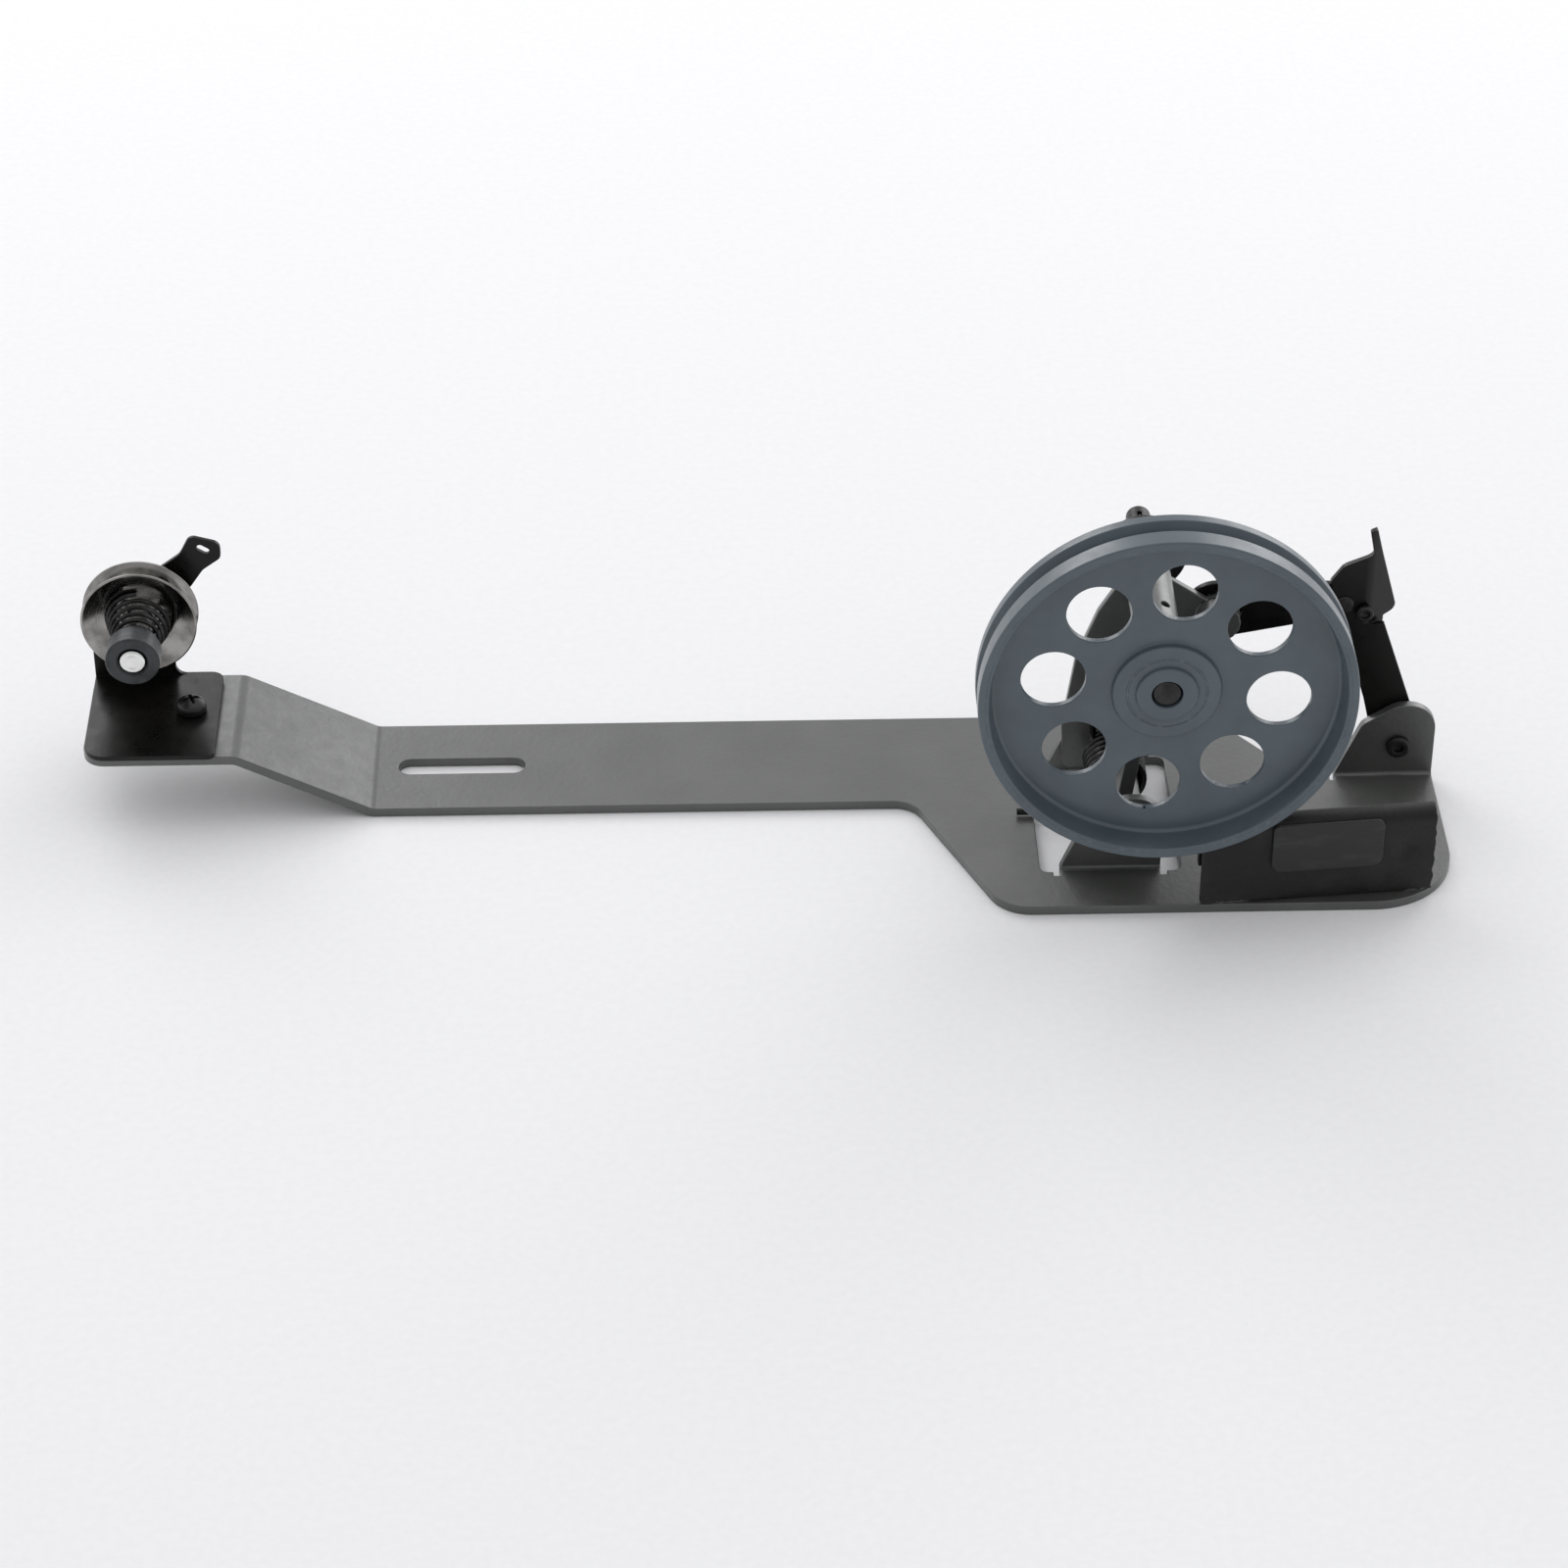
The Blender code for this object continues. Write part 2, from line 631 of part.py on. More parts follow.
def make_base_plate():
    """Return the folded base plate with its arm, ears, opening, slot and brake tab."""
    plate = flat(
        "base_plate", "XZ", PLATE_FRONT - 3 * REACH, ARM_BACK + 3 * REACH, arm_side_outline()
    )
    shape = flat(
        "plate_shape",
        "XY",
        -2 * REACH,
        ARM_TOP + 2 * REACH,
        plate_outline(),
        [opening_outline(), slot_outline()],
    )
    boolean(plate, shape, "INTERSECT")
    ears = (
        ("front_ear", HINGE_X, FRONT_EAR_Y, 1),
        ("rear_ear", HINGE_X, REAR_EAR_Y, -1),
        ("lever_ear", LEVER_X, LEVER_EAR_Y, 1),
    )
    for name, pin_x, inner_y, side in ears:
        boolean(plate, make_ear(name, pin_x, inner_y, side), "UNION")
    tab_front = LEATHER + FIT
    tab_top = BRAKE_TOP - LEATHER - FIT
    tab = brake_block(
        "brake_tab", TAB_START, TAB_END, SHEET / 2, tab_top, tab_front, tab_front + SHEET
    )
    clear_wheel(tab, WHEEL_CLEARANCE + LEATHER + FIT)
    boolean(plate, tab, "UNION")
    screw_hole = bore("bracket_screw_hole",
        "Z",
        (ARM_END + SCREW_FROM_END, ARM_MIDDLE, 0.0),
        SCREW_RADIUS + FIT,
        ARM_RISE - REACH,
        ARM_TOP + REACH,
    )
    boolean(plate, screw_hole, "DIFFERENCE")
    return dress(plate, "grey_paint")


def make_brake_leather():
    """Return the leather folded over the brake's tab."""
    back = 2 * LEATHER + 2 * FIT + SHEET
    low = SHEET + FIT
    leather = brake_block("brake_leather", 0.0, BRAKE_RIGHT - BRAKE_LEFT, low, BRAKE_TOP, 0.0, back)
    channel = brake_block(
        "leather_channel",
        -REACH,
        BRAKE_RIGHT - BRAKE_LEFT + REACH,
        low - REACH,
        BRAKE_TOP - LEATHER,
        LEATHER,
        back - LEATHER,
    )
    boolean(leather, channel, "DIFFERENCE")
    skirt = brake_block(
        "leather_skirt",
        -REACH,
        BRAKE_RIGHT - BRAKE_LEFT + REACH,
        low - REACH,
        BRAKE_TOP - LEATHER_BACK_DROP,
        LEATHER + FIT,
        back + REACH,
    )
    boolean(leather, skirt, "DIFFERENCE")
    clear_wheel(leather, WHEEL_CLEARANCE)
    return dress(leather, "leather")


def make_brake_pad():
    """Return the smooth pad glued on the leather's front."""
    low = BRAKE_TOP - PAD_DROP
    high = BRAKE_TOP - 0.6 * MM
    outline = rounded(
        [
            (PAD_START, low, PAD_RADIUS),
            (PAD_END, low, PAD_RADIUS),
            (PAD_END, high, PAD_RADIUS / 3),
            (PAD_START, high, PAD_RADIUS / 3),
        ]
    )
    pad = flat("brake_pad", "XZ", -FIT - PAD_THICKNESS, -FIT, outline)
    pad.location = (BRAKE_LEFT, BRAKE_FRONT, 0.0)
    pad.rotation_euler = (0.0, 0.0, BRAKE_TURN)
    return dress(pad, "pad")


def make_headed_pin(name, x, front, back):
    """Return a pivot pin with its head in front and a groove for a clip behind."""
    groove = back + 2 * FIT
    neck = groove + CLIP_THICKNESS + FIT
    end = neck + PIN_TAIL - CLIP_THICKNESS
    inset = PIN_RADIUS * 0.8
    profile = [
        (0, end),
        (PIN_RADIUS * 0.85, end),
        (PIN_RADIUS, end - 0.4 * MM),
        (PIN_RADIUS, neck),
        (inset, neck),
        (inset, groove - FIT),
        (PIN_RADIUS, groove - FIT),
        (PIN_RADIUS, front - FIT),
        (PIN_HEAD_RADIUS, front - FIT),
        (PIN_HEAD_RADIUS, front - PIN_HEAD_HEIGHT),
        (PIN_HEAD_RADIUS * 0.8, front - PIN_HEAD_HEIGHT - FIT),
        (0, front - PIN_HEAD_HEIGHT - FIT),
    ]
    return dress(turned(name, "Y", (x, 0.0, PIN_HEIGHT), profile, SMALL_STEPS), "dark_steel")


def make_clip(name, x, back):
    """Return the spring clip in a pin's groove, a ring open on one side."""
    low = back + 2 * FIT
    inner = PIN_RADIUS * 0.8 + FIT
    start = math.degrees(math.asin(CLIP_GAP / inner))
    outline = arc((x, PIN_HEIGHT), CLIP_RADIUS, start - 90, 270 - start)
    outline += arc((x, PIN_HEIGHT), inner, 270 - start, start - 90)
    return dress(flat(name, "XZ", low, low + CLIP_THICKNESS - FIT, outline), "spring_steel")


def wheel_profile():
    """Return the wheel's section: grooved rim, thin web and hub, from the rear outer edge."""
    rim = WHEEL_RADIUS - RIM_WALL
    root = rim - RIM_DRAFT
    middle = GROOVE_OFFSET
    edge = 0.5 * MM
    return [
        (WHEEL_RADIUS - edge, WHEEL_BACK),
        (WHEEL_RADIUS, WHEEL_BACK - edge),
        (WHEEL_RADIUS, middle + GROOVE_WIDTH / 2),
        (WHEEL_RADIUS - GROOVE_DEPTH, middle + GROOVE_FLOOR / 2),
        (WHEEL_RADIUS - GROOVE_DEPTH, middle - GROOVE_FLOOR / 2),
        (WHEEL_RADIUS, middle - GROOVE_WIDTH / 2),
        (WHEEL_RADIUS, WHEEL_FRONT + edge),
        (WHEEL_RADIUS - edge, WHEEL_FRONT),
        (rim, WHEEL_FRONT),
        (root, -edge),
        (root - edge, 0.0),
        (HUB_RADIUS + edge, 0.0),
        (HUB_RADIUS, -edge),
        (HUB_RADIUS - edge, -HUB_HEIGHT),
        (BOSS_RADIUS + edge, -HUB_HEIGHT),
        (BOSS_RADIUS, -BOSS_HEIGHT + edge),
        (BOSS_RADIUS - edge, -BOSS_HEIGHT),
        (SPINDLE_SEAT_RADIUS + FIT, -BOSS_HEIGHT),
        (SPINDLE_SEAT_RADIUS + FIT, REAR_HUB_END),
        (REAR_HUB_RADIUS, REAR_HUB_END),
        (REAR_HUB_RADIUS, WEB_THICKNESS + edge),
        (REAR_HUB_RADIUS + edge, WEB_THICKNESS),
        (root, WEB_THICKNESS),
        (rim, WHEEL_BACK),
    ]


def make_wheel():
    """Return the belt wheel with its ring of holes and the set screw's hole."""
    axle = (0.0, 0.0, AXLE_HEIGHT)
    wheel = turned("wheel", "Y", axle, wheel_profile(), WHEEL_STEPS, ring=True)
    for number in range(WHEEL_HOLES):
        turn = WHEEL_HOLE_TURN + 2 * math.pi * number / WHEEL_HOLES
        x = HOLE_CIRCLE_RADIUS * math.cos(turn)
        z = AXLE_HEIGHT + HOLE_CIRCLE_RADIUS * math.sin(turn)
        name = "wheel_hole_%d" % number
        hole = bore(name, "Y", (x, 0.0, z), WHEEL_HOLE_RADIUS, -REACH, WEB_THICKNESS + REACH)
        boolean(wheel, hole, "DIFFERENCE")
    top = REAR_HUB_RADIUS + REACH
    place = (0.0, set_screw_y(), AXLE_HEIGHT)
    screw_hole = bore("set_screw_hole", "Z", place, SET_SCREW_RADIUS + FIT, 0.0, top)
    boolean(wheel, screw_hole, "DIFFERENCE")
    return dress(wheel, "blue_grey_paint")


def set_screw_y():
    """Return the set screw's place along the hub, midway on the free stretch."""
    return (WEB_THICKNESS + REAR_HUB_END) / 2


def make_set_screw():
    """Return the headless screw that holds the wheel on its spindle."""
    low = SPINDLE_SEAT_RADIUS + FIT
    high = REAR_HUB_RADIUS - FIT
    slot_depth = 1.0 * MM
    place = (0.0, set_screw_y(), AXLE_HEIGHT)
    screw = rod("wheel_set_screw", "Z", place, SET_SCREW_RADIUS, low, high)
    slot = flat(
        "set_screw_slot",
        "XZ",
        -SET_SCREW_RADIUS - REACH,
        SET_SCREW_RADIUS + REACH,
        [
            (-0.4 * MM, high - slot_depth),
            (0.4 * MM, high - slot_depth),
            (0.4 * MM, high + REACH),
            (-0.4 * MM, high + REACH),
        ],
    )
    slot.location = place
    return dress(boolean(screw, slot, "DIFFERENCE"), "dark_steel")


def make_spindle():
    """Return the spindle: wheel seat in front, bearing journal, slotted bobbin stub behind."""
    front = -BOSS_HEIGHT + SPINDLE_RECESS
    end = SPINDLE_BACK
    tip = 1.2 * MM
    profile = [(SPINDLE_RADIUS * math.cos(t), end - tip + tip * math.sin(t)) for t in dome_turns()]
    profile += [
        (SPINDLE_RADIUS, REAR_HUB_END),
        (SPINDLE_SEAT_RADIUS, REAR_HUB_END),
        (SPINDLE_SEAT_RADIUS, front + FIT),
        (SPINDLE_SEAT_RADIUS - FIT, front),
        (0, front),
    ]
    spindle = turned("spindle", "Y", (0.0, 0.0, AXLE_HEIGHT), profile, SMALL_STEPS)
    half = BLADE_THICKNESS / 2 + FIT
    slot = flat(
        "spindle_slot",
        "XZ",
        SEAT_FRONT + SEAT_THICKNESS + FIT,
        SPINDLE_BACK + REACH,
        [
            (-half, AXLE_HEIGHT),
            (half, AXLE_HEIGHT),
            (half, AXLE_HEIGHT + SPINDLE_RADIUS + REACH),
            (-half, AXLE_HEIGHT + SPINDLE_RADIUS + REACH),
        ],
    )
    return dress(boolean(spindle, slot, "DIFFERENCE"), "dark_steel")


def dome_turns():
    """Return the angles of a rounded tip, from its pole to its side."""
    count = 4
    return [math.pi / 2 * (1 - i / count) for i in range(count + 1)]


def make_bobbin_seat():
    """Return the flange that a bobbin stands against."""
    radii = (SPINDLE_RADIUS + FIT, SEAT_RADIUS)
    seat = tube(
        "bobbin_seat",
        "Y",
        (0.0, 0.0, AXLE_HEIGHT),
        radii,
        SEAT_FRONT,
        SEAT_FRONT + SEAT_THICKNESS,
        LARGE_STEPS,
    )
    return dress(seat, "dark_steel")


def make_bobbin_spring():
    """Return the leaf in the stub's slot that grips the bobbin."""
    start = SEAT_FRONT + SEAT_THICKNESS + 3 * FIT
    end = SPINDLE_BACK - 1.5 * MM
    middle = (start + end) / 2
    low = AXLE_HEIGHT + FIT
    high = AXLE_HEIGHT + SPINDLE_RADIUS
    outline = rounded(
        [
            (start, low),
            (end, low),
            (end, high - 0.8 * MM, 0.5 * MM),
            (middle, high + BLADE_BULGE, 3.0 * MM),
            (start, high - 0.8 * MM, 0.5 * MM),
        ]
    )
    blade = flat("bobbin_spring", "YZ", -BLADE_THICKNESS / 2, BLADE_THICKNESS / 2, outline)
    return dress(blade, "spring_steel")


def make_bushing(name, low, high):
    """Return a plain bearing bush of the spindle."""
    radii = (SPINDLE_RADIUS + FIT, BUSHING_RADIUS)
    return dress(tube(name, "Y", (0.0, 0.0, AXLE_HEIGHT), radii, low, high), "bronze")


def make_thrust_washer():
    """Return the washer between the wheel's hub and the spindle housing."""
    low = REAR_HUB_END + FIT
    radii = (SPINDLE_RADIUS + FIT, WASHER_RADIUS)
    place = (0.0, 0.0, AXLE_HEIGHT)
    washer = tube("thrust_washer", "Y", place, radii, low, low + WASHER_THICKNESS)
    return dress(washer, "polished_steel")


def cheek_outline():
    """Return the frame's rear cheek, from the hinge up to the spindle and out to the link."""
    left = HINGE_X - 11.2 * MM
    right = HINGE_X + 9.0 * MM
    bottom = 4.0 * MM
    head = TUBE_RADIUS * 0.8
    boss_x, boss_z = LINK_PIVOT
    return rounded(
        [
            (right, bottom, 2.0 * MM),
            (right + 0.6 * MM, 28.0 * MM, 8.0 * MM),
            (boss_x, boss_z - LINK_BOSS_RADIUS),
            *arc(LINK_PIVOT, LINK_BOSS_RADIUS, -75, 120),
            (head, AXLE_HEIGHT - 1.5 * MM),
            (0.0, AXLE_HEIGHT + head),
            (-head, AXLE_HEIGHT),
            (-10.8 * MM, AXLE_HEIGHT - 11.2 * MM, 4.0 * MM),
            (left + 2.0 * MM, AXLE_HEIGHT - 24.1 * MM, 4.0 * MM),
            (left - 0.6 * MM, 16.0 * MM, 4.0 * MM),
            (left, bottom, 2.0 * MM),
        ]
    )


def spindle_bore_profile():
    """Return the housing's bore, wider at both ends for the bushings."""
    seat = BUSHING_RADIUS + FIT
    depth = BUSHING_LENGTH + FIT
    return [
        (0, TUBE_BACK + REACH),
        (seat, TUBE_BACK + REACH),
        (seat, TUBE_BACK - depth),
        (TUBE_BORE_RADIUS, TUBE_BACK - depth),
        (TUBE_BORE_RADIUS, TUBE_FRONT + depth),
        (seat, TUBE_FRONT + depth),
        (seat, TUBE_FRONT - REACH),
        (0, TUBE_FRONT - REACH),
    ]


def make_swing_frame():
    """Return the swinging frame: hinge sleeve, rib, spindle housing, cheek and link boss."""
    hinge = (HINGE_X, 0.0, PIN_HEIGHT)
    axle = (0.0, 0.0, AXLE_HEIGHT)
    boss_place = (LINK_PIVOT[0], 0.0, LINK_PIVOT[1])
    cheek_front = CHEEK_BACK - CHEEK_THICKNESS
    frame = rod("swing_frame", "Y", hinge, SLEEVE_RADIUS, SLEEVE_FRONT, SLEEVE_BACK)
    half = RIB_THICKNESS / 2
    rib_outline = [
        (HINGE_X - half, PIN_HEIGHT),
        (HINGE_X + half, PIN_HEIGHT),
        (half, AXLE_HEIGHT),
        (-half, AXLE_HEIGHT),
    ]
    joined = (
        flat("frame_cheek", "XZ", cheek_front, CHEEK_BACK, cheek_outline()),
        flat("frame_rib", "XZ", RIB_BACK - RIB_WIDTH, RIB_BACK, rib_outline),
        rod("spindle_housing", "Y", axle, TUBE_RADIUS, TUBE_FRONT, TUBE_BACK, LARGE_STEPS),
        rod(
            "link_boss", "Y", boss_place, LINK_BOSS_RADIUS - 0.02 * MM,
            CHEEK_BACK - LINK_BOSS_LENGTH, CHEEK_BACK - CHEEK_THICKNESS / 2,
        ),
    )
    for piece in joined:
        boolean(frame, piece, "UNION")
    hook = PIN_RADIUS + FIT
    bores = (
        turned("spindle_bore", "Y", axle, spindle_bore_profile(), SMALL_STEPS, phase=CUT_PHASE),
        bore("hinge_bore", "Y", hinge, hook, SLEEVE_FRONT - REACH, SLEEVE_BACK + REACH),
        bore("link_bore", "Y", boss_place, LINK_PIN_RADIUS + FIT,
            CHEEK_BACK - LINK_BOSS_LENGTH - REACH, CHEEK_BACK + REACH,
        ),
        bore("oil_hole", "Z", (OIL_HOLE_X, OIL_HOLE_Y, AXLE_HEIGHT), OIL_HOLE_RADIUS,
            0.0, TUBE_RADIUS + REACH,
        ),
        bore("spring_hole", "Y", spring_hook_place(), SPRING_WIRE / 2 + FIT,
            cheek_front - REACH, CHEEK_BACK + REACH,
        ),
    )
    for piece in bores:
        boolean(frame, piece, "DIFFERENCE")
    return dress(frame, "grey_paint")


def spring_radius():
    """Return the return spring's coil radius, clear of the sleeve."""
    return SLEEVE_RADIUS + 2 * FIT + SPRING_WIRE / 2


def spring_hook_place():
    """Return where the return spring's upper leg enters the frame's cheek."""
    return (HINGE_X - spring_radius() + 1.0 * MM, 0.0, PIN_HEIGHT + 15.0 * MM)


def make_return_spring():
    """Return the torsion spring round the sleeve, one leg on the plate and one in the cheek."""
    radius = spring_radius()
    span = (SPRING_START, SPRING_START + SPRING_PITCH * (SPRING_TURNS + 0.75))
    centre = (HINGE_X, PIN_HEIGHT)
    coils = coil(centre, (radius, radius), span, SPRING_TURNS + 0.75, math.pi * 1.25)
    hook_x, _, hook_z = spring_hook_place()
    bottom = SHEET + FIT + SPRING_WIRE / 2
    foot = (HINGE_X - OPENING_LEFT - 4.0 * MM, span[0] - SPRING_WIRE, bottom)
    leg = [foot, (HINGE_X - OPENING_LEFT + REACH, span[0] - SPRING_WIRE, bottom)]
    tail = [
        (hook_x, span[1], hook_z - 3.0 * MM),
        (hook_x, span[1] + 1.0 * MM, hook_z),
        (hook_x, CHEEK_BACK - FIT, hook_z),
    ]
    return dress(wire("return_spring", leg + coils + tail, SPRING_WIRE), "spring_steel")


def make_link_plate():
    """Return the plate that couples the frame to the trip lever."""
    outline = belt_outline(LINK_PIVOT, LINK_LEFT_RADIUS, LEVER_PIVOT, LINK_RIGHT_RADIUS)
    holes = [
        circle(LINK_PIVOT, LINK_PIN_RADIUS + FIT, SMALL_STEPS),
        circle(LEVER_PIVOT, LINK_PIN_RADIUS + LINK_SLACK, SMALL_STEPS),
    ]
    link = flat("link_plate", "XZ", LINK_FRONT, LINK_BACK, outline, holes)
    return dress(link, "black_paint")


def make_link_pin():
    """Return the pin through the frame's boss and the link plate."""
    head = LINK_BACK + FIT
    profile = [
        (0, head + 1.0 * MM),
        (LINK_PIN_HEAD_RADIUS - FIT, head + 1.0 * MM),
        (LINK_PIN_HEAD_RADIUS, head + 0.7 * MM),
        (LINK_PIN_HEAD_RADIUS, head),
        (LINK_PIN_RADIUS, head),
        (LINK_PIN_RADIUS, CHEEK_BACK - LINK_BOSS_LENGTH + 2.0 * MM),
        (0, CHEEK_BACK - LINK_BOSS_LENGTH + 2.0 * MM),
    ]
    place = (LINK_PIVOT[0], 0.0, LINK_PIVOT[1])
    return dress(turned("link_pin", "Y", place, profile, SMALL_STEPS), "dark_steel")


def make_lever_rivet():
    """Return the rivet of the trip lever that the link plate's loose end turns on."""
    head = LINK_BACK + FIT
    front = LEVER_FRONT - 0.8 * MM
    profile = [
        (0, head + 1.0 * MM),
        (LINK_PIN_HEAD_RADIUS, head + 1.0 * MM),
        (LINK_PIN_HEAD_RADIUS, head),
        (LINK_PIN_RADIUS, head),
        (LINK_PIN_RADIUS, LEVER_FRONT - FIT),
        (LINK_PIN_HEAD_RADIUS - 2 * FIT, LEVER_FRONT - FIT),
        (LINK_PIN_HEAD_RADIUS - 2 * FIT, front),
        (0, front),
    ]
    place = (LEVER_PIVOT[0], 0.0, LEVER_PIVOT[1])
    return dress(turned("lever_rivet", "Y", place, profile, SMALL_STEPS), "dark_steel")


def from_lever_pin(across, up, *radius):
    """Return a corner given in millimetres from the lever's pin."""
    return (LEVER_X + across * MM, PIN_HEIGHT + up * MM, *(value * MM for value in radius))


def lever_head_outline():
    """Return the trip lever's upper part seen from the front, with its thin finger."""
    corners = [
        (-14.7, 31.4),
        (-5.2, 31.4),
        (-5.2, 33.0),
        (-1.9, 33.7, 1.5),
        (-6.7, 51.0),
        (-8.4, 57.6, 0.5),
        (-10.2, 57.6, 0.5),
        (-8.9, 51.2, 0.6),
        (-15.7, 48.3, 3.0),
        (-18.6, 44.0, 1.5),
    ]
    return rounded([from_lever_pin(*corner) for corner in corners])


def lever_fold_outline():
    """Return the lever's sheet seen from above: flat, with its right side bent back."""
    slope = math.tan(LEVER_BEND_ANGLE)
    shift = LEVER_THICKNESS * math.tan(LEVER_BEND_ANGLE / 2)
    far = LEVER_X + 4.9 * MM
    near = LEVER_X - 23.1 * MM
    run = far - LEVER_BEND_X
    back_y = LEVER_BACK + slope * (run + shift)
    return rounded(
        [
            (near, LEVER_FRONT),
            (LEVER_BEND_X, LEVER_FRONT, LEVER_BEND_RADIUS + LEVER_THICKNESS),
            (far, LEVER_FRONT + slope * run),
            (far, back_y),
            (LEVER_BEND_X - shift, LEVER_BACK, LEVER_BEND_RADIUS),
            (near, LEVER_BACK),
        ]
    )


def make_trip_lever():
    """Return the trip lever: a leg on its pivot pin and a head with a folded side."""
    low, high = PIN_HEIGHT + 19.4 * MM, PIN_HEIGHT + 64.4 * MM
    lever = flat("trip_lever", "XY", low, high, lever_fold_outline())
    shape = flat(
        "lever_head_shape", "XZ", LEVER_FRONT - 10 * MM, LEVER_FRONT + 20 * MM, lever_head_outline()
    )
    boolean(lever, shape, "INTERSECT")
    pivot = (LEVER_X, PIN_HEIGHT)
    leg = [from_lever_pin(-15.0, 32.4), from_lever_pin(-8.6, 11.6)]
    leg += arc(pivot, LEVER_FOOT_RADIUS, 165, 360)
    leg += [from_lever_pin(2.9, 8.9), from_lever_pin(-5.2, 32.4)]
    boolean(lever, flat("lever_leg", "XZ", LEVER_FRONT, LEVER_BACK, leg), "UNION")
    holes = (
        ("lever_pin_hole", pivot, PIN_RADIUS + FIT),
        ("rivet_hole", LEVER_PIVOT, LINK_PIN_RADIUS + FIT),
        ("trip_screw_hole", TRIP_SCREW, TRIP_SCREW_RADIUS + FIT),
    )
    for name, (x, z), radius in holes:
        cutter = bore(name, "Y", (x, 0.0, z), radius, LEVER_FRONT - REACH, LEVER_BACK + REACH)
        boolean(lever, cutter, "DIFFERENCE")
    return dress(lever, "black_paint")


def make_trip_screw():
    """Return the small socket-headed screw in the trip lever."""
    head = LEVER_FRONT - FIT
    front = head - TRIP_SCREW_HEAD_HEIGHT
    socket = TRIP_SCREW_HEAD_RADIUS * 0.45
    profile = [
        (0, LEVER_BACK),
        (TRIP_SCREW_RADIUS, LEVER_BACK),
        (TRIP_SCREW_RADIUS, head),
        (TRIP_SCREW_HEAD_RADIUS, head),
        (TRIP_SCREW_HEAD_RADIUS, front + FIT),
        (TRIP_SCREW_HEAD_RADIUS - FIT, front),
        (socket, front),
        (socket * 0.9, front + TRIP_SCREW_HEAD_HEIGHT / 2),
        (0, front + TRIP_SCREW_HEAD_HEIGHT / 2),
    ]
    place = (TRIP_SCREW[0], 0.0, TRIP_SCREW[1])
    return dress(turned("trip_screw", "Y", place, profile, SMALL_STEPS), "dark_steel")


def make_tension_bracket():
    """Return the tension unit's bracket: a flange on the arm and an upright behind."""
    left = ARM_END + BRACKET_MARGIN
    right = left + BRACKET_LENGTH
    front = BRACKET_BACK - BRACKET_DEPTH
    upright_right = left + BRACKET_UPRIGHT_WIDTH
    flange = flat(
        "tension_bracket",
        "XY",
        BRACKET_BOTTOM,
        BRACKET_TOP,
        rounded(
            [
                (left, front, 5.0 * MM),
                (right, front, 1.5 * MM),
                (right, BRACKET_BACK, 3.0 * MM),
                (left, BRACKET_BACK),
            ]
        ),
    )
    head = arc((STUD_X, STUD_Z), BRACKET_HEAD_RADIUS, 0, 180)
    upright = flat(
        "bracket_upright",
        "XZ",
        UPRIGHT_FRONT,
        BRACKET_BACK,
        [
            (left, BRACKET_BOTTOM),
            (right - 3.0 * MM, BRACKET_BOTTOM),
            *rounded(
                [
                    (right - 3.0 * MM, BRACKET_TOP),
                    (upright_right, BRACKET_TOP, 2.5 * MM),
                    (upright_right, STUD_Z - 12.0 * MM, 4.0 * MM),
                    (STUD_X + BRACKET_HEAD_RADIUS, STUD_Z),
                ]
            )[:-1],
            *head,
            (left, STUD_Z - 14.0 * MM),
        ],
    )
    boolean(flange, upright, "UNION")
    place = (STUD_X, 0.0, STUD_Z)
    stud_hole = bore("stud_hole", "Y", place, STUD_RADIUS + FIT, UPRIGHT_FRONT - REACH, BRACKET_BACK + REACH
    )
    boolean(flange, stud_hole, "DIFFERENCE")
    x = ARM_END + SCREW_FROM_END
    screw_hole = bore("flange_hole", "Z", (x, ARM_MIDDLE, 0.0), SCREW_RADIUS + FIT,
        BRACKET_BOTTOM - REACH, BRACKET_TOP + REACH,
    )
    boolean(flange, screw_hole, "DIFFERENCE")
    for name, offset in (("front_dimple", -DIMPLE_SPACING), ("rear_dimple", DIMPLE_SPACING)):
        depth = BRACKET_SHEET / 2
        profile = [(0, REACH), (DIMPLE_RADIUS, REACH), (DIMPLE_RADIUS, 0), (0, -depth)]
        dent = turned(name, "Z", (x, ARM_MIDDLE + offset, BRACKET_TOP), profile, SMALL_STEPS)
        boolean(flange, dent, "DIFFERENCE")
    return dress(flange, "black_paint")


def make_bracket_screw():
    """Return the pan-head screw with a cross recess that holds the bracket."""
    low = BRACKET_TOP + FIT
    top = low + SCREW_HEAD_HEIGHT
    profile = [
        (0, top),
        (SCREW_HEAD_RADIUS * 0.55, top - 0.15 * MM),
        (SCREW_HEAD_RADIUS * 0.85, top - 0.6 * MM),
        (SCREW_HEAD_RADIUS, top - 1.3 * MM),
        (SCREW_HEAD_RADIUS, low),
        (SCREW_RADIUS, low),
        (SCREW_RADIUS, low - SCREW_LENGTH),
        (0, low - SCREW_LENGTH),
    ]
    place = (ARM_END + SCREW_FROM_END, ARM_MIDDLE, 0.0)
    screw = turned("bracket_screw", "Z", place, profile, SMALL_STEPS)
    arm = 1.7 * MM
    half = 0.4 * MM
    corners = [(arm, half * 0.7), (half, half), (half * 0.7, arm)]
    cross = list(corners)
    cross += [(-v, u) for u, v in corners]
    cross += [(-u, -v) for u, v in corners]
    cross += [(v, -u) for u, v in corners]
    recess = flat("cross_recess", "XY", top - 1.2 * MM, top + REACH, cross)
    recess.location = place
    return dress(boolean(screw, recess, "DIFFERENCE"), "dark_steel")


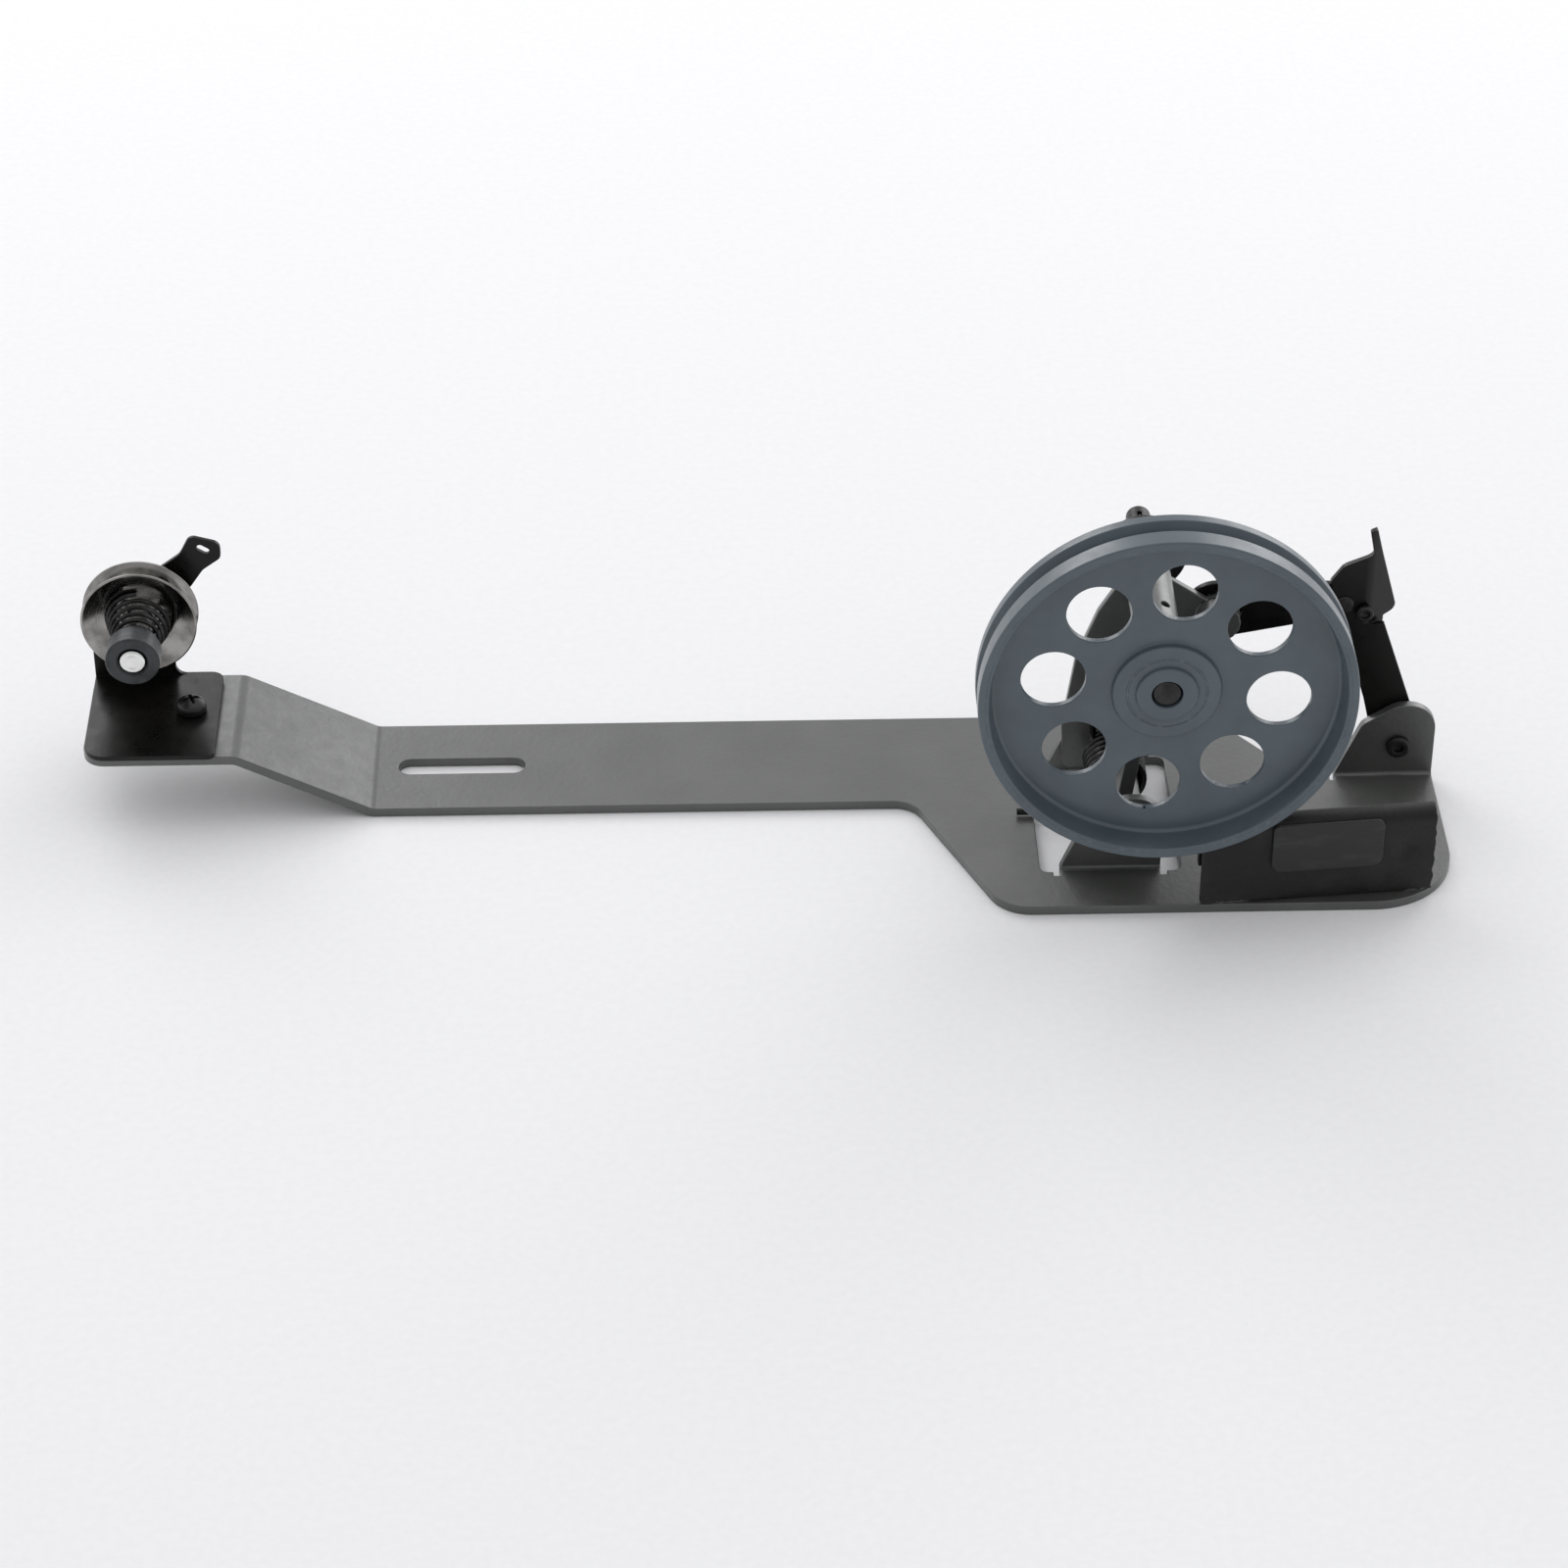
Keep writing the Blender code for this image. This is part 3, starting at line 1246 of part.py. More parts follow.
def make_bracket_nut():
    """Return the hexagon nut under the arm."""
    place = (ARM_END + SCREW_FROM_END, ARM_MIDDLE)
    high = ARM_RISE - FIT
    nut = flat(
        "bracket_nut",
        "XY",
        high - CLAMP_NUT_HEIGHT,
        high,
        circle(place, CLAMP_NUT_RADIUS, 6),
        [circle(place, SCREW_RADIUS + FIT, SMALL_STEPS)],
    )
    return dress(nut, "dark_steel")


def make_tension_stud():
    """Return the stud, riveted in the bracket, that carries the discs, spring and nut."""
    rivet = BRACKET_BACK + FIT
    front = NUT_FRONT - STUD_PROUD
    profile = [
        (0, rivet + RIVET_HEIGHT),
        (STUD_SHOULDER_RADIUS - 2 * FIT, rivet + RIVET_HEIGHT),
        (STUD_SHOULDER_RADIUS, rivet + RIVET_HEIGHT - 2 * FIT),
        (STUD_SHOULDER_RADIUS, rivet),
        (STUD_RADIUS, rivet),
        (STUD_RADIUS, SHOULDER_BACK),
        (STUD_SHOULDER_RADIUS, SHOULDER_BACK),
        (STUD_SHOULDER_RADIUS, SHOULDER_FRONT),
        (STUD_RADIUS, SHOULDER_FRONT),
        (STUD_RADIUS, front + 0.5 * MM),
        (STUD_RADIUS - 0.5 * MM, front),
        (0, front),
    ]
    return dress(turned("tension_stud", "Y", (STUD_X, 0.0, STUD_Z), profile, SMALL_STEPS), "polished_steel")


def make_thread_guide():
    """Return the thread guide behind the discs, with its eye at the upper right."""
    root = (STUD_X, STUD_Z)
    end = Vector((STUD_X + GUIDE_END[0], STUD_Z + GUIDE_END[1]))
    head = [
        (-3.4, -10.0),
        (-0.4, -5.6, 4.0),
        (4.0, -2.4, 1.8),
        (4.0, 1.6, 2.0),
        (-3.0, 3.6, 1.8),
        (-5.6, -1.4, 4.0),
        (-10.6, -5.1),
    ]
    corners = arc(root, GUIDE_ROOT_RADIUS, 135, 315)
    corners += [
        (end.x + across * MM, end.y + up * MM, *(value * MM for value in radius))
        for across, up, *radius in head
    ]
    half = GUIDE_EYE_LENGTH / 2 - GUIDE_EYE_RADIUS
    reach = Vector((math.cos(GUIDE_EYE_TURN), math.sin(GUIDE_EYE_TURN))) * half
    eye = belt_outline(end - reach, GUIDE_EYE_RADIUS, end + reach, GUIDE_EYE_RADIUS)
    outline = rounded(corners)
    holes = [circle(root, STUD_RADIUS + FIT, SMALL_STEPS), eye]
    guide = flat("thread_guide", "XZ", GUIDE_FRONT, GUIDE_BACK, outline, holes)
    return dress(guide, "black_paint")


def make_tension_disc(name, y, side):
    """Return a dished disc; side is 1 where its rim flares to the rear."""
    count = 3
    hole = STUD_RADIUS + FIT
    steps = [(hole, 0.0), (DISC_FLAT_RADIUS, 0.0)]
    for i in range(1, count + 1):
        share = i / count
        radius = DISC_FLAT_RADIUS + (DISC_RADIUS - DISC_FLAT_RADIUS) * share
        steps.append((radius, DISC_DISH * share**1.6))
    rear = 0.0 if side == 1 else DISC_THICKNESS
    upper = [(radius, side * rise + rear) for radius, rise in steps]
    lower = [(radius, height - DISC_THICKNESS) for radius, height in upper]
    profile = list(reversed(lower)) + upper
    disc = turned(name, "Y", (STUD_X, y, STUD_Z), profile, LARGE_STEPS, ring=True)
    return dress(disc, "polished_steel")


def make_tension_spring():
    """Return the conical spring between the front disc and the nut."""
    points = coil(
        (STUD_X, STUD_Z),
        (COIL_LARGE_RADIUS, COIL_SMALL_RADIUS),
        (COIL_BACK, COIL_FRONT),
        COIL_TURNS,
        math.pi / 2,
    )
    return dress(wire("tension_spring", points, COIL_WIRE), "spring_steel")


def make_tension_nut():
    """Return the round nut that sets the thread tension."""
    edge = 0.4 * MM
    bore = STUD_RADIUS + FIT
    profile = [
        (NUT_RADIUS - edge, NUT_BACK),
        (NUT_RADIUS, NUT_BACK - edge),
        (NUT_RADIUS, NUT_FRONT + edge),
        (NUT_RADIUS - edge, NUT_FRONT),
        (bore + edge, NUT_FRONT),
        (bore, NUT_FRONT + edge),
        (bore, NUT_BACK),
    ]
    place = (STUD_X, 0.0, STUD_Z)
    return dress(turned("tension_nut", "Y", place, profile, LARGE_STEPS, ring=True), "dark_steel")


def build_base():
    """Make everything that stays still."""
    make_base_plate()
    make_brake_leather()
    make_brake_pad()
    make_headed_pin("frame_hinge_pin", HINGE_X, FRONT_EAR_Y, REAR_EAR_Y + SHEET)
    make_clip("hinge_pin_clip", HINGE_X, REAR_EAR_Y + SHEET)
    make_return_spring()
    make_headed_pin("lever_pin", LEVER_X, LEVER_EAR_Y, LEVER_BACK)
    make_clip("lever_pin_clip", LEVER_X, LEVER_BACK)
    make_tension_bracket()
    make_bracket_screw()
    make_bracket_nut()
    make_tension_stud()
    make_thread_guide()
    make_tension_disc("rear_tension_disc", REAR_DISC_Y, 1)
    make_tension_spring()


def build_frame():
    """Make the swinging frame and what it carries."""
    hinge = carrier("frame_swing_axis", HINGE_X, SLEEVE_FRONT, PIN_HEIGHT)
    ride(make_swing_frame(), hinge)
    ride(make_bushing("front_bushing", TUBE_FRONT, TUBE_FRONT + BUSHING_LENGTH), hinge)
    ride(make_bushing("rear_bushing", TUBE_BACK - BUSHING_LENGTH, TUBE_BACK), hinge)
    ride(make_thrust_washer(), hinge)
    ride(make_link_pin(), hinge)
    axle = carrier("wheel_spin_axis", 0.0, 0.0, AXLE_HEIGHT)
    for make in (make_wheel, make_set_screw, make_spindle, make_bobbin_seat, make_bobbin_spring):
        ride(make(), axle)
    pivot = carrier("link_turn_axis", LINK_PIVOT[0], LINK_FRONT, LINK_PIVOT[1])
    ride(make_link_plate(), pivot)


def build_lever():
    """Make the trip lever with its rivet and screw."""
    pivot = carrier("lever_press_axis", LEVER_X, LEVER_FRONT, PIN_HEIGHT)
    for make in (make_trip_lever, make_lever_rivet, make_trip_screw):
        ride(make(), pivot)


def build_tension_moving():
    """Make the tension unit's sliding disc and turning nut."""
    slide = carrier("disc_slide_axis", STUD_X, FRONT_DISC_Y, STUD_Z)
    ride(make_tension_disc("front_tension_disc", FRONT_DISC_Y, -1), slide)
    turn = carrier("nut_turn_axis", STUD_X, NUT_BACK, STUD_Z)
    ride(make_tension_nut(), turn)


build_base()
build_frame()
build_lever()
build_tension_moving()
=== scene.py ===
"""A bobbin winder: belt wheel on a swinging frame, trip lever, brake and tension unit.

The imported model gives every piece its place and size. This script gives the pieces their
finished shapes and finishes, and sets the floor, the light and the camera.
"""

import logging
import math
from dataclasses import dataclass
from enum import Enum
from typing import Any, Iterable, Sequence

import bmesh
import bpy
from mathutils import Euler, Matrix, Vector, noise


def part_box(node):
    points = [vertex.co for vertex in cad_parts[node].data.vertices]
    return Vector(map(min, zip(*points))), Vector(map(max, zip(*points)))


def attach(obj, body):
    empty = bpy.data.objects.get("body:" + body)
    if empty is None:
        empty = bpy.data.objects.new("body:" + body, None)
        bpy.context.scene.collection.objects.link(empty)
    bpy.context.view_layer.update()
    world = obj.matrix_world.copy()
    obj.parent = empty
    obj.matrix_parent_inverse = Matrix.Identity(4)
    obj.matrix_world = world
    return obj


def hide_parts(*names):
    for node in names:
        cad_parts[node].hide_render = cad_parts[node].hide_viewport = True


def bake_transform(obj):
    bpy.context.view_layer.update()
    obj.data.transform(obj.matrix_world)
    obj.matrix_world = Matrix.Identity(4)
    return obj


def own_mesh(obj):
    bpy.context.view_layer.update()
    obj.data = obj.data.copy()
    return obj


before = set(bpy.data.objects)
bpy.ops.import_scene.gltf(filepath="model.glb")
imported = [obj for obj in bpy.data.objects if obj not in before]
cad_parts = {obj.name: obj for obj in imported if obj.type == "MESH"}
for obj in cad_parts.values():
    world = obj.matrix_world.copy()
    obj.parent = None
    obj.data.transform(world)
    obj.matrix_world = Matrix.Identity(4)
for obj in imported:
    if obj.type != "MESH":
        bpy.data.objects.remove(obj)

MM = 0.001
# Steps round a large turned piece and round a small one, and in each rounded corner.
LARGE_STEPS = 160
SMALL_STEPS = 72
CORNER_STEPS = 4
# Two faces that meet at more than this angle keep a hard edge.
HARD_EDGE = math.radians(48)
# Vertices closer than this are one vertex, in a new shape and in a packed one.
SAME_PLACE = 0.0005 * MM
PACKED_PLACE = 0.002 * MM
# A rounded corner takes one more step for each share of this angle, in radians.
CORNER_SWEEP = 1.6
# Nearly all of a noise's values lie between these two.
NOISE_LOW = 0.3
NOISE_HIGH = 0.7
# Rivets and pins with a domed rear head: the shank's radius and the head's height.
RIVET_SHANK = 1.35 * MM
RIVET_HEAD = 1.0 * MM

LOG = logging.getLogger("bobbin_winder")

Corner = tuple[float, ...]
Point = tuple[float, float, float]


class Body(Enum):
    """The bodies that move against each other."""

    BASE = "base"
    FRAME = "frame"
    WHEEL = "wheel"
    LINK = "link"
    LEVER = "lever"
    FRONT_DISC = "front_disc"
    NUT = "nut"


class Axis(Enum):
    """The direction that a turned piece's axis points in, as a turn of the Z axis."""

    BACK = Matrix.Rotation(math.radians(-90), 4, "X")
    UP = Matrix.Identity(4)


# ------------------------------------------------------------------ materials


def linear(code: str) -> tuple[float, float, float, float]:
    """Turn an sRGB hex colour into linear values.

    Args:
        code: the colour, such as #5b6164.

    Returns:
        Red, green, blue and full opacity.
    """
    values = []
    for start in (1, 3, 5):
        share = int(code[start:start + 2], 16) / 255
        values.append(share / 12.92 if share <= 0.04045 else ((share + 0.055) / 1.055) ** 2.4)
    return (values[0], values[1], values[2], 1.0)


def per_metre(size: float) -> float:
    """Return the scale of a pattern whose features are this many millimetres apart."""
    return 1.0 / (size * MM)


def add_node(tree: Any, kind: str, inputs: dict | None = None, **settings: Any) -> Any:
    """Add a node to a tree.

    Args:
        tree: the node tree.
        kind: the node's type.
        inputs: values or output sockets for its inputs, by name or number.
        **settings: its properties.

    Returns:
        The new node.
    """
    node = tree.nodes.new(kind)
    for name, value in settings.items():
        setattr(node, name, value)
    for key, value in (inputs or {}).items():
        socket = node.inputs[key]
        for item in value if isinstance(value, list) else [value]:
            if isinstance(item, bpy.types.NodeSocket):
                tree.links.new(item, socket)
            else:
                socket.default_value = item
    return node


@dataclass
class Surface:
    """What a finish works out for its shader: colour, roughness and normal sockets."""

    colour: Any
    roughness: Any
    normal: Any


@dataclass(frozen=True)
class Finish:
    """A finish with its constant values; each kind of finish draws its own surface."""

    name: str
    slot: str
    colour: str
    roughness: float = 0.4
    metallic: float = 0.0
    specular: float = 0.5
    coat: float = 0.0
    coat_roughness: float = 0.2
    sheen: float = 0.0

    def surface(self, tree: Any, place: Any) -> Surface:
        """Draw the pattern of this finish.

        Args:
            tree: the material's node tree.
            place: the socket with the object's own coordinates.

        Returns:
            The sockets for the shader.
        """
        raise NotImplementedError

    def material(self) -> bpy.types.Material:
        """Return the material, made once."""
        found = bpy.data.materials.get(self.name)
        if found:
            return found
        material = bpy.data.materials.new(self.name)
        material.use_nodes = True
        tree = material.node_tree
        tree.nodes.clear()
        place = add_node(tree, "ShaderNodeTexCoord").outputs["Object"]
        drawn = self.surface(tree, place)
        values = {
            "Base Color": drawn.colour,
            "Roughness": drawn.roughness,
            "Normal": drawn.normal,
            "Metallic": self.metallic,
            "Specular IOR Level": self.specular,
            "Coat Weight": self.coat,
            "Coat Roughness": self.coat_roughness,
            "Sheen Weight": self.sheen,
        }
        shader = add_node(tree, "ShaderNodeBsdfPrincipled", values)
        add_node(tree, "ShaderNodeOutputMaterial", {"Surface": shader.outputs["BSDF"]})
        material.diffuse_color = linear(self.colour)
        return material

    def grain(self, tree: Any, place: Any, size: float, detail: float = 3.0) -> Any:
        """Return a noise whose features are this many millimetres apart."""
        values = {"Vector": place, "Scale": per_metre(size), "Detail": detail}
        return add_node(tree, "ShaderNodeTexNoise", values).outputs["Fac"]

    def spread(self, tree: Any, value: Any, low: float, high: float, start: float, end: float) -> Any:
        """Return a value stretched from low...high to start...end."""
        values = {"Value": value, "From Min": low, "From Max": high, "To Min": start, "To Max": end}
        return add_node(tree, "ShaderNodeMapRange", values, clamp=True).outputs["Result"]

    def mixed(self, tree: Any, share: Any, first: Any, second: Any) -> Any:
        """Return a colour between two colours, each a hex value or a socket."""
        ends = [linear(one) if isinstance(one, str) else one for one in (first, second)]
        # This node's colour sockets are its inputs 6 and 7 and its output 2.
        values = {0: share, 6: ends[0], 7: ends[1]}
        return add_node(tree, "ShaderNodeMix", values, data_type="RGBA").outputs[2]

    def rough(self, tree: Any, noise_value: Any, least: float, most: float) -> Any:
        """Return a roughness that a noise moves between two shares of the finish's own."""
        ends = (self.roughness * least, self.roughness * most)
        return self.spread(tree, noise_value, NOISE_LOW, NOISE_HIGH, *ends)

    def relief(self, tree: Any, height: Any, depth: float, below: Any = None) -> Any:
        """Return the normal of a relief this many millimetres deep, over another one."""
        values = {"Height": height, "Distance": depth * MM, "Strength": 1.0}
        if below is not None:
            values["Normal"] = below
        return add_node(tree, "ShaderNodeBump", values).outputs["Normal"]

    def edges(self, tree: Any, width: float) -> Any:
        """Return 1 along edges and 0 on flat ground, over a width in millimetres."""
        soft = add_node(tree, "ShaderNodeBevel", {"Radius": width * MM}, samples=6)
        true = add_node(tree, "ShaderNodeNewGeometry").outputs["Normal"]
        values = {0: soft.outputs["Normal"], 1: true}
        along = add_node(tree, "ShaderNodeVectorMath", values, operation="DOT_PRODUCT")
        return self.spread(tree, along.outputs["Value"], 0.985, 0.90, 0.0, 1.0)


@dataclass(frozen=True)
class SprayedPaint(Finish):
    """Sprayed and baked enamel: a fine orange peel, soft blotches, bare specks on edges."""

    blotch: str = "#4b5054"
    worn: str = "#8d9295"
    peel: float = 0.9
    peel_depth: float = 0.012
    wear: float = 0.5

    def surface(self, tree: Any, place: Any) -> Surface:
        """Draw the paint."""
        blotches = self.spread(tree, self.grain(tree, place, 14.0, 4.0), 0.38, 0.62, 0.0, 1.0)
        colour = self.mixed(tree, blotches, self.colour, self.blotch)
        specks = self.grain(tree, place, 1.6, 5.0)
        chips = self.spread(tree, specks, 0.70 - 0.25 * self.wear, 0.78, 0.0, 1.0)
        both = {0: self.edges(tree, 0.35), 1: chips}
        bare = add_node(tree, "ShaderNodeMath", both, operation="MULTIPLY").outputs[0]
        colour = self.mixed(tree, bare, colour, self.worn)
        fine = self.grain(tree, place, self.peel, 2.0)
        rough = self.rough(tree, self.grain(tree, place, 3.5), 0.85, 1.2)
        return Surface(colour, rough, self.relief(tree, fine, self.peel_depth))


@dataclass(frozen=True)
class TurnedSteel(Finish):
    """Steel from the lathe: fine rings round its axis, a few dull patches."""

    dull: str = "#6d6d6d"
    axis: tuple[float, float] = (0.0, 0.0)
    ring: float = 0.22
    ring_depth: float = 0.004

    def surface(self, tree: Any, place: Any) -> Surface:
        """Draw the turned rings, centred on the piece's axis."""
        middle = (-self.axis[0] * MM, 0.0, -self.axis[1] * MM)
        centred = add_node(tree, "ShaderNodeMapping", {"Vector": place, "Location": middle})
        parts = add_node(tree, "ShaderNodeSeparateXYZ", {0: centred.outputs[0]})
        flat = add_node(tree, "ShaderNodeCombineXYZ", {"X": parts.outputs["X"], "Y": parts.outputs["Z"]})
        radius = add_node(tree, "ShaderNodeVectorMath", {0: flat.outputs[0]}, operation="LENGTH")
        both = {0: radius.outputs["Value"], 1: parts.outputs["Y"]}
        along = add_node(tree, "ShaderNodeMath", both, operation="ADD")
        values = {"W": along.outputs[0], "Scale": per_metre(self.ring), "Detail": 2.0}
        rings = add_node(tree, "ShaderNodeTexNoise", values, noise_dimensions="1D").outputs["Fac"]
        patches = self.spread(tree, self.grain(tree, place, 5.0, 4.0), 0.45, 0.72, 0.0, 1.0)
        colour = self.mixed(tree, patches, self.colour, self.dull)
        rough = self.rough(tree, rings, 0.7, 1.4)
        return Surface(colour, rough, self.relief(tree, rings, self.ring_depth))


@dataclass(frozen=True)
class DrawnWire(Finish):
    """Blackened spring wire: its streaks are finer than shows, so they stand 0.5 mm apart."""

    rub: str = "#4a4a4a"
    streak: float = 0.5

    def surface(self, tree: Any, place: Any) -> Surface:
        """Draw the wire's blackening, rubbed thin in places."""
        rubbed = self.spread(tree, self.grain(tree, place, 4.0, 2.0), 0.5, 0.75, 0.0, 1.0)
        colour = self.mixed(tree, rubbed, self.colour, self.rub)
        streaks = self.grain(tree, place, self.streak)
        rough = self.rough(tree, streaks, 0.8, 1.3)
        return Surface(colour, rough, self.relief(tree, streaks, 0.0015))


@dataclass(frozen=True)
class SplitLeather(Finish):
    """Dyed chrome leather: pebbled grain, rubbed lighter where it was handled."""

    scuff: str = "#1d1c1c"
    pebble: float = 0.8

    def surface(self, tree: Any, place: Any) -> Surface:
        """Draw the grain and the scuffs."""
        cells = {"Vector": place, "Scale": per_metre(self.pebble)}
        pebbles = add_node(tree, "ShaderNodeTexVoronoi", cells, feature="SMOOTH_F1").outputs["Distance"]
        fibre = self.grain(tree, place, 0.35, 5.0)
        scuffed = self.spread(tree, self.grain(tree, place, 6.0, 6.0), 0.48, 0.70, 0.0, 0.8)
        both = {0: scuffed, 1: self.edges(tree, 0.6)}
        share = add_node(tree, "ShaderNodeMath", both, operation="MAXIMUM").outputs[0]
        colour = self.mixed(tree, share, self.colour, self.scuff)
        rough = self.rough(tree, fibre, 0.85, 1.15)
        normal = self.relief(tree, pebbles, 0.05)
        return Surface(colour, rough, self.relief(tree, fibre, 0.03, normal))


@dataclass(frozen=True)
class MouldedRubber(Finish):
    """Moulded rubber: smooth and satin, with light scratches and pale edges that are partly worn rubber and
    partly a painted highlight.
    """

    rubbed: str = "#4c4c4b"

    def surface(self, tree: Any, place: Any) -> Surface:
        """Draw the worn rubber, with the painted highlight along its edges."""
        stretched = add_node(tree, "ShaderNodeMapping", {"Vector": place, "Scale": (0.25, 1.0, 1.0)})
        marks = self.spread(tree, self.grain(tree, stretched.outputs[0], 2.4, 6.0), 0.52, 0.72, 0.0, 0.25)
        # The edge mask paints a highlight along the pad's outline, mixed with the wear of its edges.
        both = {0: marks, 1: self.edges(tree, 0.45)}
        share = add_node(tree, "ShaderNodeMath", both, operation="MAXIMUM").outputs[0]
        colour = self.mixed(tree, share, self.colour, self.rubbed)
        fine = self.grain(tree, place, 0.6, 4.0)
        rough = self.rough(tree, fine, 0.85, 1.2)
        return Surface(colour, rough, self.relief(tree, fine, 0.015))


@dataclass(frozen=True)
class SinteredBronze(Finish):
    """Pressed and sintered bronze: dull, with open pores."""

    pores: str = "#4a3418"

    def surface(self, tree: Any, place: Any) -> Surface:
        """Draw the pores."""
        specks = self.grain(tree, place, 0.3, 4.0)
        open_pores = self.spread(tree, specks, 0.55, 0.7, 0.0, 1.0)
        colour = self.mixed(tree, open_pores, self.colour, self.pores)
        rough = self.rough(tree, specks, 0.8, 1.2)
        return Surface(colour, rough, self.relief(tree, specks, 0.02))


@dataclass(frozen=True)
class PaperSweep(Finish):
    """A studio's paper sweep: matt white with a hardly visible tooth."""

    tooth: str = "#f4f4f5"

    def surface(self, tree: Any, place: Any) -> Surface:
        """Draw the paper's tooth."""
        tooth = self.grain(tree, place, 2.0, 3.0)
        raised = self.spread(tree, tooth, NOISE_LOW, NOISE_HIGH, 0.0, 1.0)
        colour = self.mixed(tree, raised, self.colour, self.tooth)
        rough = self.spread(tree, tooth, 0.0, 1.0, self.roughness, self.roughness * 1.02)
        return Surface(colour, rough, self.relief(tree, tooth, 0.01))


# Grey baked enamel on folded sheet steel: mid grey, semi-gloss, softly mottled.
PLATE_PAINT = SprayedPaint(
    "baked_grey_enamel", "grey_paint", "#454744", 0.36, blotch="#3d3f3c", worn="#a9a9a6",
    peel=1.3, peel_depth=0.07, wear=0.35, specular=0.9, coat=0.4, coat_roughness=0.3,
)
# Blue-grey baked enamel on the cast wheel: cooler and deeper, chipped along the rim.
WHEEL_PAINT = SprayedPaint(
    "baked_blue_grey_enamel", "wheel_paint", "#4e5a61", 0.33, blotch="#47525a", worn="#a4adb0",
    peel=0.7, peel_depth=0.010, wear=0.8, coat=0.25, coat_roughness=0.2,
)
# Black baked enamel on pressed sheet: near black with a broad soft shine.
BLACK_PAINT = SprayedPaint(
    "baked_black_enamel", "black_paint", "#0a0a09", 0.30, blotch="#100f0d", worn="#5d5a55",
    peel=0.9, peel_depth=0.012, wear=0.4, specular=0.25, coat=0.04, coat_roughness=0.2,
)
# The tension stud's axis and the wheel's axle, as X and Z in millimetres.
STUD_AXIS = (-233.0, 40.2)
WHEEL_AXIS = (0.0, 58.9)
# Polished and nickelled steel: bright, mirror-like with faint turning rings.
TENSION_STEEL = TurnedSteel(
    "nickelled_turned_steel", "polished_steel", "#9d9b98", 0.13, 1.0, dull="#6d6b69", axis=STUD_AXIS,
)
# The stud's faced end: near white, as it mirrors the light straight back.
STUD_STEEL = TurnedSteel(
    "faced_stud_steel", "polished_steel", "#e6e6e4", 0.2, 1.0, dull="#cfcfcc", axis=STUD_AXIS, ring=0.6,
)
# Bright steel of small turned pieces on the wheel's axis.
BRIGHT_STEEL = TurnedSteel(
    "bright_turned_steel", "polished_steel", "#bfbebb", 0.22, 1.0, dull="#94928e", axis=WHEEL_AXIS,
)
# Oil-blackened turned steel: charcoal with a soft metallic shine.
OILED_STEEL = TurnedSteel(
    "oil_blackened_steel", "dark_steel", "#3b3a3a", 0.34, 0.85, dull="#262525", axis=WHEEL_AXIS,
    ring=0.3, ring_depth=0.006,
)
# The tension nut's blackened steel, with rings round the tension stud.
NUT_STEEL = TurnedSteel(
    "blackened_nut_steel", "dark_steel", "#3f4244", 0.36, 0.7, dull="#2b2d2f", axis=STUD_AXIS,
    ring=0.3, ring_depth=0.006,
)
# Blackened spring wire: nearly black with sharp highlights along each turn.
SPRING_WIRE = DrawnWire("blackened_spring_wire", "spring_steel", "#2a2a2a", 0.2, 0.9)
# Sintered bronze of the spindle's bushes: dull brown gold.
BUSH_BRONZE = SinteredBronze("sintered_bronze", "bronze", "#8a6a35", 0.42, 0.9)
# Black chrome leather of the brake: deep black with a low sheen and grey scuffs.
BRAKE_LEATHER = SplitLeather("black_chrome_leather", "leather", "#0d0c0d", 0.5, specular=0.35, sheen=0.04)
# Moulded black rubber of the brake's pad: satin, grey at its edges, partly from wear and partly a painted
# highlight.
PAD_RUBBER = MouldedRubber("moulded_black_rubber", "brake_pad", "#161617", 0.38)
# The white paper that the object stands on.
SWEEP_PAPER = PaperSweep("white_paper_sweep", "", "#f1f1f2", 0.9, specular=0.1)


# ------------------------------------------------------------------ mesh tools


def new_object(name: str, data: bpy.types.ID) -> bpy.types.Object:
    """Link a new object with this mesh, curve, light or camera into the scene."""
    piece = bpy.data.objects.new(name, data)
    bpy.context.scene.collection.objects.link(piece)
    return piece


def put_in_order(shape: bmesh.types.BMesh) -> None:
    """Sort a shape's vertices and faces, as a spun shape's order differs from run to run."""
    verts = sorted(shape.verts, key=lambda vert: tuple(vert.co))
    numbers = {vert: index for index, vert in enumerate(verts)}
    places = [tuple(vert.co) for vert in verts]
    rings = []
    for face in shape.faces:
        ring = [numbers[vert] for vert in face.verts]
        first = ring.index(min(ring))
        rings.append(ring[first:] + ring[:first])
    shape.clear()
    fresh = [shape.verts.new(place) for place in places]
    for ring in sorted(rings):
        shape.faces.new([fresh[index] for index in ring])
    shape.normal_update()


def tidy(shape: bmesh.types.BMesh) -> None:
    """Merge a closed shape's doubles, point its faces outwards and sort them."""
    bmesh.ops.remove_doubles(shape, verts=shape.verts, dist=SAME_PLACE)
    bmesh.ops.recalc_face_normals(shape, faces=shape.faces)
    if shape.calc_volume(signed=True) < 0:
        bmesh.ops.reverse_faces(shape, faces=shape.faces)
    put_in_order(shape)


def mesh_of(name: str, shape: bmesh.types.BMesh) -> bpy.types.Mesh:
    """Turn a bmesh into a mesh and free it."""
    mesh = bpy.data.meshes.new(name)
    shape.to_mesh(mesh)
    shape.free()
    return mesh


def settled(piece: bpy.types.Object) -> bpy.types.Object:
    """Turn a piece's modifiers into plain mesh, with its place in its mesh.

    Args:
        piece: a mesh or curve object, wherever it stands.

    Returns:
        A mesh object of the same name at the origin.
    """
    bpy.context.view_layer.update()
    graph = bpy.context.evaluated_depsgraph_get()
    mesh = bpy.data.meshes.new_from_object(piece.evaluated_get(graph), depsgraph=graph)
    mesh.transform(piece.matrix_world)
    name = piece.name
    bpy.data.objects.remove(piece)
    mesh.name = name
    return new_object(name, mesh)


